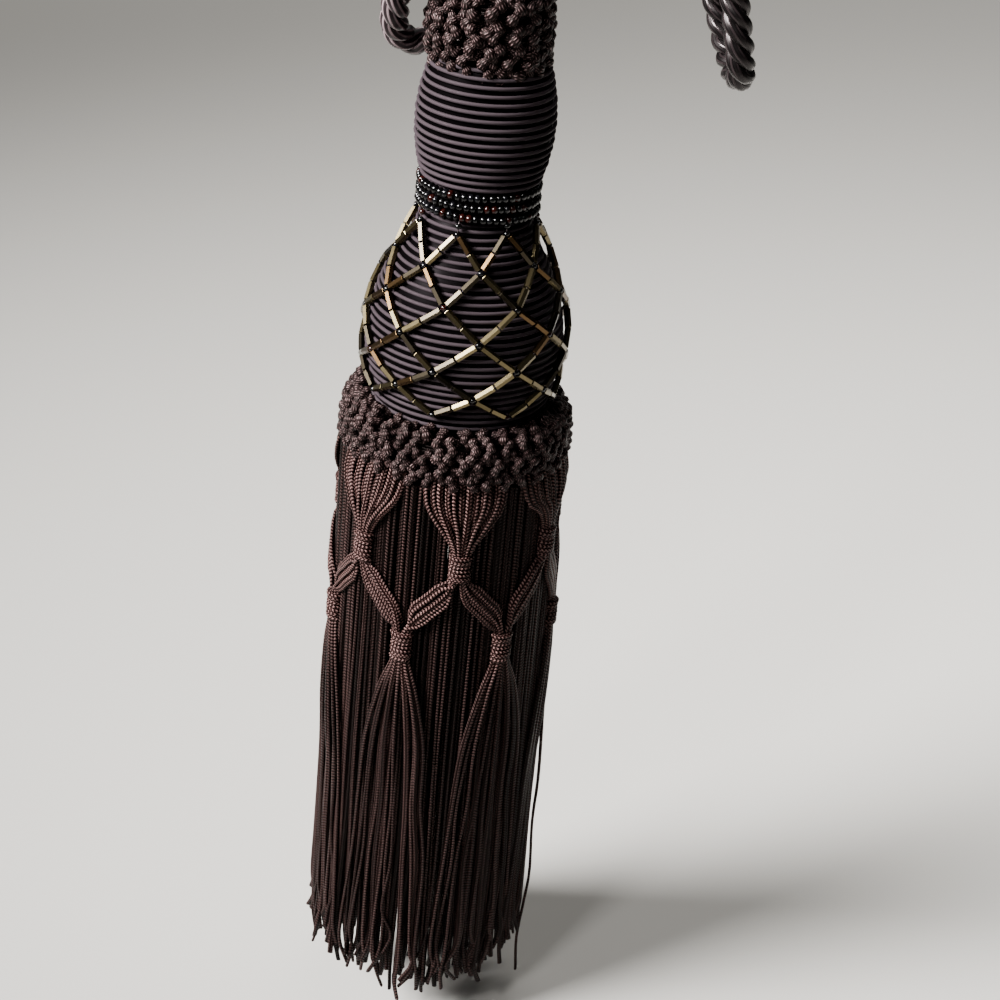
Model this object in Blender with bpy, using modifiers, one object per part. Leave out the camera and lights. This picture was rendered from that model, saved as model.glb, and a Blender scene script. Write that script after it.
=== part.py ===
"""Curtain tassel on a twisted cord loop.

A wound head (ball, bead collar, bell under a bead net) between two ruffs of
bullion loops, with a straight under-fringe and a knotted over-fringe, hung by
a three-strand cord whose loop passes over a hook.

Frame: +Z up, the front faces -Y, origin where the hook bears under the top of
the cord loop. Sizes below are in millimetres; heights are measured upwards from
the fringe's nominal ends, and azimuths in degrees from the front towards +X.
"""
import math
import random

import bmesh
import bpy
from mathutils import Matrix, Vector

MM = 0.001
GAP = 0.4                       # clearance between neighbouring pieces
HEAD_SIDES = 32                 # sides of the turned pieces of the head

# ---- driving dimensions ----------------------------------------------------
HOOK_HEIGHT = 317.9             # hook's bearing point above the fringe ends
TASSEL_BESIDE_HOOK = -14.0      # tassel axis, along X, from the hook
HEAD_LEAN_DEG = 0.8             # the head leans a little towards +X
LEAN_PIVOT_HEIGHT = 142.6       # foot of the lower ruff

CORD_DIAMETER = 6.2
CORD_LAY = 11.0                 # length of one full twist
CORD_STEPS_PER_LAY = 8
CORD_VALLEY = 0.66              # groove radius over crown radius

BALL_BOTTOM, BALL_TOP = 210.4, 234.4
BALL_END_RADIUS = 13.4
BALL_RADIUS = 15.3

NECK_RADIUS = 11.9
NECK_FOOT = 202.3
COLLAR_ROW_HEIGHTS = (208.6, 206.15, 203.7)
COLLAR_BEAD_RADIUS = 1.05
COLLAR_RADIUS = 13.2            # to the middle of the beads
COLLAR_CORE_INSET = 0.1         # between the collar's bore and the beads' inner side

# outline of the wound bell: (height, radius)
BELL_OUTLINE = (
    (158.6, 21.2),
    (164.7, 22.4),
    (170.0, 23.0),
    (177.2, 22.3),
    (184.6, 20.2),
    (191.9, 16.6),
    (196.6, 14.1),
    (201.4, 12.7),
)

NET_COLUMNS = 8
NET_ROW_HEIGHTS = (200.0, 192.2, 184.6, 177.4, 170.6, 164.9, 160.3)
NET_FIRST_AZIMUTH = -14.6
NET_BAR = 1.7                   # thickness of the bugle beads
NET_STAND_OFF = 1.5             # from the winding to the middle of a bar

# outlines of the ruffs: (height, radius) down the outer side
LOWER_RUFF_OUTLINE = (
    (159.6, 25.0),
    (158.2, 25.9),
    (155.8, 26.9),
    (153.2, 27.2),
    (150.6, 27.5),
    (148.0, 27.5),
    (145.2, 27.5),
    (142.6, 26.8),
)
LOWER_RUFF_LOOPS = 38           # in each tier
SEAT_RADIUS = 24.2              # flat seat for the bell's foot
TOP_RUFF_OUTLINE = (
    (257.6, 5.5),
    (255.9, 10.0),
    (253.0, 12.6),
    (250.2, 13.6),
    (247.4, 13.9),
    (244.6, 14.1),
    (241.8, 14.2),
    (239.2, 14.1),
    (236.8, 13.8),
    (234.9, 13.2),
)
TOP_RUFF_LOOPS = 17
TOP_RUFF_CROWN = 258.2
LOOP_RELIEF = 0.65              # a loop stands this far off the outline
LOOP_SKEW = 0.15                # makes the gaps between loops wider than their crowns
WAIST_SHARE = 0.4               # relief between two tiers, as a share of a loop's
RUFF_CORE_RADIUS = 4.0          # nothing inside this radius is raised
SAME_ROW = 0.1                  # a point this close to a row's height belongs to it

STRAND_RADIUS = 0.82
STRAND_SIDES = 3
STRAND_DRIFT_DEG = 0.35         # a straight strand wanders by up to this much
ROOT_SINK = 0.8                 # how far a strand's root runs up into its heading
UNDER_RINGS = (                 # (strands, root radius, end radius, stretches)
    (80, 24.0, 25.7, 3),
    (44, 20.6, 22.0, 1),
)
UNDER_HEADING = (0.0, 25.0, 139.8, 141.5)      # inner, outer radius, foot, top
OVER_HEADING = (25.4, 27.6, 139.8, 141.5)
UNDER_HEADING_SIDES = 40
OVER_HEADING_SIDES = 42
FRINGE_END = -1.5
FRINGE_END_SCATTER = 4.0

KNOTS = 7                       # bundles round the over-fringe
STRANDS_PER_KNOT = 6
UPPER_KNOT_AZIMUTH = 7.2
UPPER_KNOT_HEIGHT = 124.2
LOWER_KNOT_HEIGHT = 101.4
KNOT_HALF_HEIGHT = 4.4
KNOT_HALF_WIDTH = 2.8
KNOT_HALF_DEPTH = 1.7
KNOT_RIDGES = 3
KNOT_SIDES = 6
KNOT_GROOVE = 0.82              # groove over ridge of a wrap
KNOT_RADIUS = 26.9              # from the axis to a knot's middle
OVER_RADIUS = 27.1              # from the axis to the over-fringe's strands
OVER_END_RADIUS = 28.0
ROOT_SPREAD_DEG = 5.9           # between a bundle's strands at the heading
FREE_SPREAD_DEG = 5.4           # and at their ends
HELD_THICKNESS = 0.8            # a strand where a wrap grips it, over a free one
HELD_WIDTH = 0.62               # half width of a gripped bundle over the wrap's
HELD_DEPTH = 0.45               # a gripped bundle's two layers lie this far in and out
HELD_REACH = 0.55               # a bundle's end inside its wrap, over the wrap's half height
SHOULDER_WIDTH = 1.9            # half width of the bundle above its wrap, over the wrap's
SHOULDER_RISE = 3.5             # and how far above the wrap it is that wide
SHOULDER_SWELL = 0.5
ROOT_INSET = 0.3
LEG_START_WIDTH = 0.3           # a leg leaves its wrap this far off its middle
LEG_STEP = 0.5                  # between a leg's strands inside a wrap
LEG_BELLY_STEP = 1.25           # and half-way down the leg
LEG_BELLY_STEP_DEG = 2.3
LEG_SWELL = 0.6
HIP_DROP = 14.0                 # the free ends have spread most of their way this far down
HIP_SPREAD = 0.62
HIP_SWELL = 0.4

# the cord's route from its left end, over the hook, round the hanging loop,
# back over the hook and down to its end behind the head: (x, y, height)
CORD_ROUTE = (
    (-11.5, 7.2, 236.6),
    (-14.8, 8.7, 235.9),
    (-18.1, 8.0, 236.5),
    (-20.5, 5.0, 239.4),
    (-21.0, 1.4, 243.9),
    (-20.7, -1.4, 249.5),
    (-19.5, -3.1, 258.0),
    (-16.4, -4.0, 271.0),
    (-12.6, -4.0, 287.0),
    (-9.2, -4.0, 303.2),
    (-3.0, -4.0, 314.0),
    (4.8, -4.0, 319.2),
    (14.0, -4.0, 321.0),
    (23.2, -4.0, 319.2),
    (31.0, -4.0, 314.0),
    (37.2, -4.2, 303.2),
    (42.6, -6.2, 285.0),
    (47.3, -8.2, 267.0),
    (50.9, -9.2, 254.0),
    (52.7, -9.0, 246.8),
    (54.1, -7.2, 240.8),
    (54.8, -2.6, 237.5),
    (54.7, 2.4, 237.3),
    (53.8, 7.0, 240.3),
    (52.0, 9.2, 246.0),
    (49.2, 9.4, 253.5),
    (45.6, 8.3, 266.5),
    (41.4, 6.2, 285.0),
    (37.2, 4.2, 303.2),
    (31.0, 4.0, 314.0),
    (23.2, 4.0, 319.2),
    (14.0, 4.0, 321.0),
    (4.8, 4.0, 319.2),
    (-3.0, 4.0, 314.0),
    (-9.2, 4.2, 303.2),
    (-12.0, 6.6, 287.0),
    (-10.6, 11.4, 272.0),
    (-6.6, 16.6, 260.0),
    (-1.8, 20.4, 249.6),
    (0.8, 20.4, 243.6),
    (1.9, 18.2, 241.3),
    (2.1, 15.4, 240.9),
)

ROUTE_SAMPLES = 24              # samples between two points of the route
SHARP_ANGLE_DEG = 40
WELD = 1e-6

# colour (linear), roughness
FINISHES = {
    "rope": ((0.022, 0.014, 0.013, 1.0), 0.35),
    "bullion": ((0.035, 0.019, 0.016, 1.0), 0.6),
    "winding": ((0.045, 0.030, 0.032, 1.0), 0.55),
    "seed_beads": ((0.012, 0.010, 0.012, 1.0), 0.12),
    "bugle_beads": ((0.090, 0.055, 0.025, 1.0), 0.15),
    "fringe": ((0.028, 0.012, 0.009, 1.0), 0.5),
}


# ---- scene and small helpers -----------------------------------------------
def clear_scene():
    """Remove every object of the scene."""
    for obj in list(bpy.data.objects):
        bpy.data.objects.remove(obj, do_unlink=True)


def make_collection(name):
    """New collection in the scene."""
    collection = bpy.data.collections.new(name)
    bpy.context.scene.collection.children.link(collection)
    return collection


def make_material(name):
    """Material of a finish, made once."""
    colour, roughness = FINISHES[name]
    material = bpy.data.materials.get(name)
    if material is None:
        material = bpy.data.materials.new(name)
        material.use_nodes = True
        shader = material.node_tree.nodes["Principled BSDF"]
        shader.inputs["Base Color"].default_value = colour
        shader.inputs["Roughness"].default_value = roughness
        shader.inputs["Metallic"].default_value = 0.0
        material.diffuse_color = colour
    return material


def polar(azimuth_deg, radius, height):
    """Point at an azimuth from the front, in millimetres from the fringe ends."""
    angle = math.radians(azimuth_deg)
    return Vector((radius * math.sin(angle), -radius * math.cos(angle), height))


def place(points):
    """Points of the tassel (mm, heights from the fringe ends) in metres, in the part's frame."""
    shift = Vector((TASSEL_BESIDE_HOOK, 0.0, -HOOK_HEIGHT))
    return [(Vector(point) + shift) * MM for point in points]


def smooth_route(points, spacing):
    """Points every `spacing` along a smooth curve through the route's own points."""
    knots = [Vector(p) for p in points]
    knots = [2 * knots[0] - knots[1]] + knots + [2 * knots[-1] - knots[-2]]
    dense = []
    for i in range(1, len(knots) - 2):
        before, start, end, after = knots[i - 1:i + 3]
        for k in range(ROUTE_SAMPLES):
            t = k / ROUTE_SAMPLES
            dense.append(0.5 * (2 * start + (end - before) * t
                                + (2 * before - 5 * start + 4 * end - after) * t ** 2
                                + (3 * start - before - 3 * end + after) * t ** 3))
    dense.append(knots[-2])
    walked = [0.0]
    for a, b in zip(dense, dense[1:]):
        walked.append(walked[-1] + (b - a).length)
    count = max(2, round(walked[-1] / spacing))
    even = []
    k = 0
    for i in range(count + 1):
        target = walked[-1] * i / count
        while k < len(walked) - 2 and walked[k + 1] < target:
            k += 1
        t = (target - walked[k]) / (walked[k + 1] - walked[k])
        even.append(dense[k].lerp(dense[k + 1], t))
    return even


def to_mesh_object(source, name, collection):
    """Replace a curve or a modified object by a plain mesh object."""
    depsgraph = bpy.context.evaluated_depsgraph_get()
    mesh = bpy.data.meshes.new_from_object(source.evaluated_get(depsgraph))
    world = source.matrix_world.copy()
    bpy.data.objects.remove(source, do_unlink=True)
    obj = bpy.data.objects.new(name, mesh)
    obj.matrix_world = world
    collection.objects.link(obj)
    work = bmesh.new()
    work.from_mesh(mesh)
    bmesh.ops.remove_doubles(work, verts=work.verts, dist=WELD)
    bmesh.ops.recalc_face_normals(work, faces=work.faces)
    work.to_mesh(mesh)
    work.free()
    return obj


def turned(name, outline, steps, collection):
    """Turned solid from an outline [(radius, height)] that runs down the outer side, in mm."""
    mesh = bpy.data.meshes.new(name)
    obj = bpy.data.objects.new(name, mesh)
    collection.objects.link(obj)
    work = bmesh.new()
    verts = [work.verts.new((radius * MM, 0.0, height * MM)) for radius, height in outline]
    for a, b in zip(verts, verts[1:]):
        work.edges.new((a, b))
    work.to_mesh(mesh)
    work.free()
    screw = obj.modifiers.new("Turn", "SCREW")
    screw.angle = 2 * math.pi
    screw.steps = steps
    screw.render_steps = steps
    screw.use_merge_vertices = True
    screw.merge_threshold = 0.00001
    return to_mesh_object(obj, name, collection)


def lean_head(obj, pivot):
    """Hang a head piece on the leaning empty; its mesh is in heights from the fringe ends."""
    obj.parent = pivot
    obj.location = (0.0, 0.0, -LEAN_PIVOT_HEIGHT * MM)


def dress(obj, finish):
    """Give a piece its material and smooth shading with sharp ridges."""
    obj.data.materials.clear()
    obj.data.materials.append(make_material(finish))
    obj.data.shade_smooth()
    obj.data.set_sharp_from_angle(angle=math.radians(SHARP_ANGLE_DEG))


def outline_radius(outline, height):
    """Radius of an outline of (height, radius) rows, smooth between them."""
    rows = sorted(outline)
    if height <= rows[0][0]:
        return rows[0][1]
    for i in range(len(rows) - 1):
        low, high = rows[i], rows[i + 1]
        if height <= high[0]:
            before = rows[max(i - 1, 0)]
            after = rows[min(i + 2, len(rows) - 1)]
            span = high[0] - low[0]
            slope_low = (high[1] - before[1]) / max(high[0] - before[0], span)
            slope_high = (after[1] - low[1]) / max(after[0] - low[0], span)
            t = (height - low[0]) / span
            return ((2 * t ** 3 - 3 * t ** 2 + 1) * low[1] + (t ** 3 - 2 * t ** 2 + t) * span * slope_low
                    + (3 * t ** 2 - 2 * t ** 3) * high[1] + (t ** 3 - t ** 2) * span * slope_high)
    return rows[-1][1]


# ---- the cord ----------------------------------------------------------------
def lobed_section(collection):
    """Cross-section of three strands, as a closed guide curve for the bevel."""
    curve = bpy.data.curves.new("rope_section", "CURVE")
    curve.dimensions = "2D"
    spline = curve.splines.new("POLY")
    spline.points.add(5)
    crown = CORD_DIAMETER / 2
    for i, point in enumerate(spline.points):
        radius = crown if i % 2 == 0 else crown * CORD_VALLEY
        angle = math.radians(60 * i)
        point.co = (radius * MM * math.cos(angle), radius * MM * math.sin(angle), 0.0, 1.0)
    spline.use_cyclic_u = True
    guide = bpy.data.objects.new("rope_section", curve)
    guide.hide_render = True
    guide.display_type = "WIRE"
    collection.objects.link(guide)
    return guide


def make_cord(collection, guides):
    """Three-strand cord along its route, twisted by the tilt of the curve's points."""
    route = place(smooth_route(CORD_ROUTE, CORD_LAY / CORD_STEPS_PER_LAY))
    curve = bpy.data.curves.new("hanging_cord", "CURVE")
    curve.dimensions = "3D"
    curve.twist_mode = "MINIMUM"
    curve.bevel_mode = "OBJECT"
    curve.bevel_object = lobed_section(guides)
    curve.use_fill_caps = True
    spline = curve.splines.new("POLY")
    spline.points.add(len(route) - 1)
    for i, (point, spot) in enumerate(zip(spline.points, route)):
        point.co = (*spot, 1.0)
        point.tilt = 2 * math.pi * i / CORD_STEPS_PER_LAY
    cord = bpy.data.objects.new("hanging_cord", curve)
    collection.objects.link(cord)
    dress(to_mesh_object(cord, "hanging_cord", collection), "rope")


# ---- the head ----------------------------------------------------------------
def make_ball(collection, pivot):
    """Ball of the head, bulged between its two ends."""
    middle = (BALL_BOTTOM + BALL_TOP) / 2
    half = (BALL_TOP - BALL_BOTTOM) / 2
    rows = 8
    outline = [(0.0, BALL_TOP)]
    for i in range(rows + 1):
        t = 1 - 2 * i / rows
        bulge = (BALL_RADIUS - BALL_END_RADIUS) * (1 - t * t)
        outline.append((BALL_END_RADIUS + bulge, middle + half * t))
    outline.append((0.0, BALL_BOTTOM))
    ball = turned("wound_ball", outline, HEAD_SIDES, collection)
    lean_head(ball, pivot)
    dress(ball, "winding")


def make_collar(collection, pivot):
    """Collar of three bead rows, as three round beads of a turned ring."""
    bore = COLLAR_RADIUS - COLLAR_BEAD_RADIUS + COLLAR_CORE_INSET
    outline = [(bore, COLLAR_ROW_HEIGHTS[0] + COLLAR_BEAD_RADIUS)]
    for height in COLLAR_ROW_HEIGHTS:
        for angle in (75, 0, -75):
            turn = math.radians(angle)
            outline.append((COLLAR_RADIUS + COLLAR_BEAD_RADIUS * math.cos(turn),
                            height + COLLAR_BEAD_RADIUS * math.sin(turn)))
    outline.append((bore, COLLAR_ROW_HEIGHTS[-1] - COLLAR_BEAD_RADIUS))
    outline.append(outline[0])
    collar = turned("bead_collar", outline, HEAD_SIDES, collection)
    lean_head(collar, pivot)
    dress(collar, "seed_beads")


def make_bell(collection, pivot):
    """Bell of the head, with the neck that runs up through the collar to the ball."""
    foot, crown = BELL_OUTLINE[0][0], BELL_OUTLINE[-1][0]
    rows = 10
    outline = [(0.0, BALL_BOTTOM - GAP), (NECK_RADIUS, BALL_BOTTOM - GAP), (NECK_RADIUS, NECK_FOOT)]
    for i in range(rows + 1):
        height = crown + (foot - crown) * i / rows
        outline.append((outline_radius(BELL_OUTLINE, height), height))
    outline.append((0.0, foot))
    bell = turned("wound_bell", outline, HEAD_SIDES, collection)
    lean_head(bell, pivot)
    dress(bell, "winding")


def make_net(collection, pivot):
    """Diamond net round the bell: its meshes are faces, which the Wireframe modifier opens."""
    mesh = bpy.data.meshes.new("bead_net")
    work = bmesh.new()
    half_step = 180 / NET_COLUMNS
    rows = []
    for row, height in enumerate(NET_ROW_HEIGHTS):
        radius = outline_radius(BELL_OUTLINE, height) + NET_STAND_OFF
        start = NET_FIRST_AZIMUTH + (row % 2) * half_step
        rows.append([work.verts.new(polar(start + 2 * half_step * i, radius, height) * MM)
                     for i in range(NET_COLUMNS)])
    for row in range(len(rows) - 2):
        for i in range(NET_COLUMNS):
            side = i if row % 2 == 0 else (i + 1) % NET_COLUMNS
            work.faces.new((rows[row][i], rows[row + 1][side - 1 if row % 2 == 0 else i],
                            rows[row + 2][i], rows[row + 1][side]))
    bmesh.ops.recalc_face_normals(work, faces=work.faces)
    work.to_mesh(mesh)
    work.free()
    net = bpy.data.objects.new("bead_net", mesh)
    collection.objects.link(net)
    lattice = net.modifiers.new("Bugles", "WIREFRAME")
    lattice.thickness = NET_BAR * MM
    lattice.offset = 0.0
    lattice.use_boundary = True
    lattice.use_replace = True
    lattice.use_even_offset = True
    lean_head(net, pivot)
    dress(net, "bugle_beads")


def make_ruff(name, top, outline, loops, sides_per_loop, first_loop_row, collection, pivot):
    """Turned ruff whose points are raised into staggered tiers of bullion loops."""
    profile = list(top) + [(radius, height) for height, radius in outline] + [(0.0, outline[-1][0])]
    ruff = turned(name, profile, loops * sides_per_loop, collection)
    row_heights = [height for height, _ in outline]
    for vert in ruff.data.vertices:
        height = vert.co.z / MM
        radius = math.hypot(vert.co.x, vert.co.y)
        row = min(range(len(row_heights)), key=lambda i: abs(row_heights[i] - height))
        on_row = abs(row_heights[row] - height) < SAME_ROW
        if radius < RUFF_CORE_RADIUS * MM or not on_row or row < first_loop_row:
            continue
        tier, below_waist = divmod(row - first_loop_row, 2)
        phase = math.atan2(vert.co.y, vert.co.x) * loops + math.pi * tier
        lift = LOOP_RELIEF * ((1 + LOOP_SKEW) * math.cos(phase) - LOOP_SKEW)
        if not below_waist:
            lift *= WAIST_SHARE
        scale = 1 + lift * MM / radius
        vert.co.x *= scale
        vert.co.y *= scale
    ruff.data.update()
    lean_head(ruff, pivot)
    dress(ruff, "bullion")


# ---- the fringes ---------------------------------------------------------------
def strand_mesh(name, paths, collection):
    """One mesh of tapered strands; each path is a list of (point in mm, thickness share)."""
    section = bpy.data.curves.new(name + "_section", "CURVE")
    section.dimensions = "2D"
    outline = section.splines.new("POLY")
    outline.points.add(STRAND_SIDES - 1)
    for i, point in enumerate(outline.points):
        angle = 2 * math.pi * i / STRAND_SIDES
        point.co = (STRAND_RADIUS * MM * math.cos(angle), STRAND_RADIUS * MM * math.sin(angle), 0.0, 1.0)
    outline.use_cyclic_u = True
    guide = bpy.data.objects.new(name + "_section", section)
    curve = bpy.data.curves.new(name, "CURVE")
    curve.dimensions = "3D"
    curve.bevel_mode = "OBJECT"
    curve.bevel_object = guide
    curve.use_fill_caps = True
    for path in paths:
        spline = curve.splines.new("POLY")
        spline.points.add(len(path) - 1)
        places = place([point for point, _ in path])
        for point, spot, (_, thickness) in zip(spline.points, places, path):
            point.co = (*spot, 1.0)
            point.radius = thickness
    source = bpy.data.objects.new(name, curve)
    collection.objects.link(source)
    strands = to_mesh_object(source, name, collection)
    bpy.data.objects.remove(guide, do_unlink=True)
    return strands


def make_heading(name, sizes, steps, collection):
    """Flat ring or disc that the strands of a fringe are sewn to."""
    inner, outer, foot, top = sizes
    if inner > 0:
        outline = [(inner, top), (outer, top), (outer, foot), (inner, foot), (inner, top)]
    else:
        outline = [(0.0, top), (outer, top), (outer, foot), (0.0, foot)]
    heading = turned(name, outline, steps, collection)
    heading.location = Vector((TASSEL_BESIDE_HOOK, 0.0, -HOOK_HEIGHT)) * MM
    return heading


def fuse(heading, strands):
    """Fuse the strands' roots into their heading."""
    strands.hide_render = True
    strands.display_type = "WIRE"
    union = heading.modifiers.new("Fuse strands", "BOOLEAN")
    union.operation = "UNION"
    union.solver = "EXACT"
    union.use_self = True
    union.object = strands


def make_under_fringe(collection, guides):
    """Straight strands in rings under their heading."""
    scatter = random.Random(11)
    root = UNDER_HEADING[2] + ROOT_SINK
    paths = []
    for strands, root_radius, end_radius, stretches in UNDER_RINGS:
        for i in range(strands):
            azimuth = 360 * i / strands
            drift = scatter.uniform(-1, 1) * STRAND_DRIFT_DEG
            end = FRINGE_END + scatter.uniform(-1, 1) * FRINGE_END_SCATTER
            path = []
            for k in range(stretches + 1):
                t = k / stretches
                radius = root_radius + (end_radius - root_radius) * t
                height = root + (end - root) * t
                wander = drift * math.sin(math.pi * t)
                path.append((polar(azimuth + wander, radius, height), 1.0))
            paths.append(path)
    strands = strand_mesh("under_strands", paths, guides)
    heading = make_heading("under_fringe", UNDER_HEADING, UNDER_HEADING_SIDES, collection)
    fuse(heading, strands)
    dress(heading, "fringe")


def knot_places():
    """Azimuth and height of the upper knots and of the lower knots between them."""
    step = 360 / KNOTS
    upper = [(UPPER_KNOT_AZIMUTH + step * i, UPPER_KNOT_HEIGHT) for i in range(KNOTS)]
    lower = [(azimuth + step / 2, LOWER_KNOT_HEIGHT) for azimuth, _ in upper]
    return upper, lower


def knot_solid(work, azimuth, height):
    """Ridged oval wrap round a bundle, added to a bmesh in the part's frame."""
    rings = []
    for k in range(2 * KNOT_RIDGES + 1):
        ridge = 1.0 if k % 2 else KNOT_GROOVE
        rise = KNOT_HALF_HEIGHT * (1 - k / KNOT_RIDGES)
        ring = []
        for i in range(KNOT_SIDES):
            angle = 2 * math.pi * i / KNOT_SIDES
            across = KNOT_HALF_WIDTH * ridge * math.cos(angle)
            out = KNOT_HALF_DEPTH * ridge * math.sin(angle)
            turn = Matrix.Rotation(math.radians(azimuth), 3, "Z")
            spot = turn @ Vector((across, -(KNOT_RADIUS + out), height + rise))
            ring.append(work.verts.new(place([spot])[0]))
        rings.append(ring)
    for upper, lower in zip(rings, rings[1:]):
        for i in range(KNOT_SIDES):
            j = (i + 1) % KNOT_SIDES
            work.faces.new((upper[i], upper[j], lower[j], lower[i]))
    work.faces.new(rings[0])
    work.faces.new(rings[-1])


def bundle_offsets():
    """Where each strand of a bundle sits: (share across the bundle from -1 to 1, in or out)."""
    middle = (STRANDS_PER_KNOT - 1) / 2
    return [((i - middle) / middle, 1 if i % 2 else -1) for i in range(STRANDS_PER_KNOT)]


def bundle_above(azimuth, height, offsets, width_deg):
    """Strands from the heading down into an upper wrap."""
    middle = (STRANDS_PER_KNOT - 1) / 2
    paths = []
    for share, layer in offsets:
        root = polar(azimuth + share * middle * ROOT_SPREAD_DEG, OVER_RADIUS - ROOT_INSET,
                     OVER_HEADING[2] + ROOT_SINK)
        shoulder = polar(azimuth + share * width_deg * SHOULDER_WIDTH, OVER_RADIUS + SHOULDER_SWELL,
                         height + KNOT_HALF_HEIGHT + SHOULDER_RISE)
        held = polar(azimuth + share * width_deg * HELD_WIDTH, KNOT_RADIUS + HELD_DEPTH * layer,
                     height + KNOT_HALF_HEIGHT * HELD_REACH)
        paths.append([(root, 1.0), (shoulder, 1.0), (held, HELD_THICKNESS)])
    return paths


def leg_between(start_knot, end_knot, side, width_deg):
    """Half a bundle that slants from an upper wrap to the lower wrap on one side of it."""
    azimuth, height = start_knot
    target, foot = end_knot
    if target - azimuth > 180:
        target -= 360
    reach = KNOT_HALF_HEIGHT * HELD_REACH
    off_middle = side * width_deg * LEG_START_WIDTH
    paths = []
    for k in range(STRANDS_PER_KNOT // 2):
        lane = k - (STRANDS_PER_KNOT // 2 - 1) / 2
        start = polar(azimuth + off_middle, KNOT_RADIUS, height - reach + LEG_STEP * lane)
        belly = polar((azimuth + target) / 2 + side * lane * LEG_BELLY_STEP_DEG, OVER_RADIUS + LEG_SWELL,
                      (height + foot) / 2 + LEG_BELLY_STEP * lane)
        end = polar(target - off_middle, KNOT_RADIUS, foot + reach + LEG_STEP * lane)
        paths.append([(start, HELD_THICKNESS), (belly, 1.0), (end, HELD_THICKNESS)])
    return paths


def bundle_below(azimuth, height, offsets, width_deg, scatter):
    """Free strands that hang from a lower wrap and spread towards their ends."""
    middle = (STRANDS_PER_KNOT - 1) / 2
    paths = []
    for share, layer in offsets:
        held = polar(azimuth + share * width_deg * HELD_WIDTH, KNOT_RADIUS + HELD_DEPTH * layer,
                     height - KNOT_HALF_HEIGHT * HELD_REACH)
        spread = share * middle * FREE_SPREAD_DEG
        hip = polar(azimuth + spread * HIP_SPREAD, OVER_RADIUS + HIP_SWELL,
                    height - KNOT_HALF_HEIGHT - HIP_DROP)
        end = polar(azimuth + spread, OVER_END_RADIUS,
                    FRINGE_END + scatter.uniform(-1, 1) * FRINGE_END_SCATTER)
        paths.append([(held, HELD_THICKNESS), (hip, 1.0), (end, 1.0)])
    return paths


def make_knotted_fringe(collection, guides):
    """Over-fringe: bundles wrapped at the upper knots, split, and wrapped again at the lower ones."""
    scatter = random.Random(5)
    upper, lower = knot_places()
    offsets = bundle_offsets()
    width_deg = math.degrees(KNOT_HALF_WIDTH / OVER_RADIUS)
    paths = []
    for azimuth, height in upper:
        paths += bundle_above(azimuth, height, offsets, width_deg)
    for i, knot in enumerate(upper):
        paths += leg_between(knot, lower[i - 1], -1, width_deg)
        paths += leg_between(knot, lower[i], 1, width_deg)
    for azimuth, height in lower:
        paths += bundle_below(azimuth, height, offsets, width_deg, scatter)
    strands = strand_mesh("over_strands", paths, guides)
    work = bmesh.new()
    work.from_mesh(strands.data)
    for azimuth, height in upper + lower:
        knot_solid(work, azimuth, height)
    bmesh.ops.recalc_face_normals(work, faces=work.faces)
    work.to_mesh(strands.data)
    work.free()
    heading = make_heading("knotted_fringe", OVER_HEADING, OVER_HEADING_SIDES, collection)
    fuse(heading, strands)
    dress(heading, "fringe")


def main():
    """Build the tassel from its cord down to the fringes."""
    clear_scene()
    tassel = make_collection("tassel")
    guides = make_collection("guides")
    pivot = bpy.data.objects.new("head_lean", None)
    pivot.location = Vector((TASSEL_BESIDE_HOOK, 0.0, LEAN_PIVOT_HEIGHT - HOOK_HEIGHT)) * MM
    pivot.rotation_euler = (0.0, math.radians(HEAD_LEAN_DEG), 0.0)
    tassel.objects.link(pivot)
    make_cord(tassel, guides)
    make_ruff("top_ruff", [(0.0, TOP_RUFF_CROWN)], TOP_RUFF_OUTLINE, TOP_RUFF_LOOPS, 4, 2, tassel, pivot)
    make_ball(tassel, pivot)
    make_collar(tassel, pivot)
    make_bell(tassel, pivot)
    make_net(tassel, pivot)
    seat = BELL_OUTLINE[0][0] - GAP
    make_ruff("lower_ruff", [(0.0, seat), (SEAT_RADIUS, seat)], LOWER_RUFF_OUTLINE, LOWER_RUFF_LOOPS, 2, 1,
              tassel, pivot)
    make_under_fringe(tassel, guides)
    make_knotted_fringe(tassel, guides)


main()
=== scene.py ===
"""Looks of a beaded curtain tassel that hangs on a twisted cord loop.

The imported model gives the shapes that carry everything: the hanging cord, two
ruffs, a wound ball and bell, a bead collar, a bead net and two fringes. Each
class below dresses one of them with the yarn or the beads that it is made of.

Places are in millimetres until they become mesh points. Heights are measured
upwards from the fringe's nominal ends, and azimuths in degrees from the front
(-Y) towards +X.
"""
import logging
import math
import random
from dataclasses import dataclass
from enum import Enum
from functools import cache, cached_property
from typing import Iterable, Optional, Sequence, Union

import bmesh
import bpy
import numpy as np
from mathutils import Matrix, Vector


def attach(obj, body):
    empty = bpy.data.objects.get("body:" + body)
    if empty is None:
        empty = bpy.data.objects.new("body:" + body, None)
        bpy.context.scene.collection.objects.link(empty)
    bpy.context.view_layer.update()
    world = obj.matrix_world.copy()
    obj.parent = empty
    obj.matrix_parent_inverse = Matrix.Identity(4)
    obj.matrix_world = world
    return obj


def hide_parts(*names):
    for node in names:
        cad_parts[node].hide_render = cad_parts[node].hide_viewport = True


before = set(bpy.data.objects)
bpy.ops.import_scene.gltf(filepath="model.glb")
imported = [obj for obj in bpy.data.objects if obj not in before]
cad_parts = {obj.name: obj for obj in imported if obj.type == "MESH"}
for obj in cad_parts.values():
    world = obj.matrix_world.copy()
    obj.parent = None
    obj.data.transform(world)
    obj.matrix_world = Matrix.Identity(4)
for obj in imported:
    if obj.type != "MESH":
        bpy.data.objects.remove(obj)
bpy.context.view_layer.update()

LOG = logging.getLogger("tassel")

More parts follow.
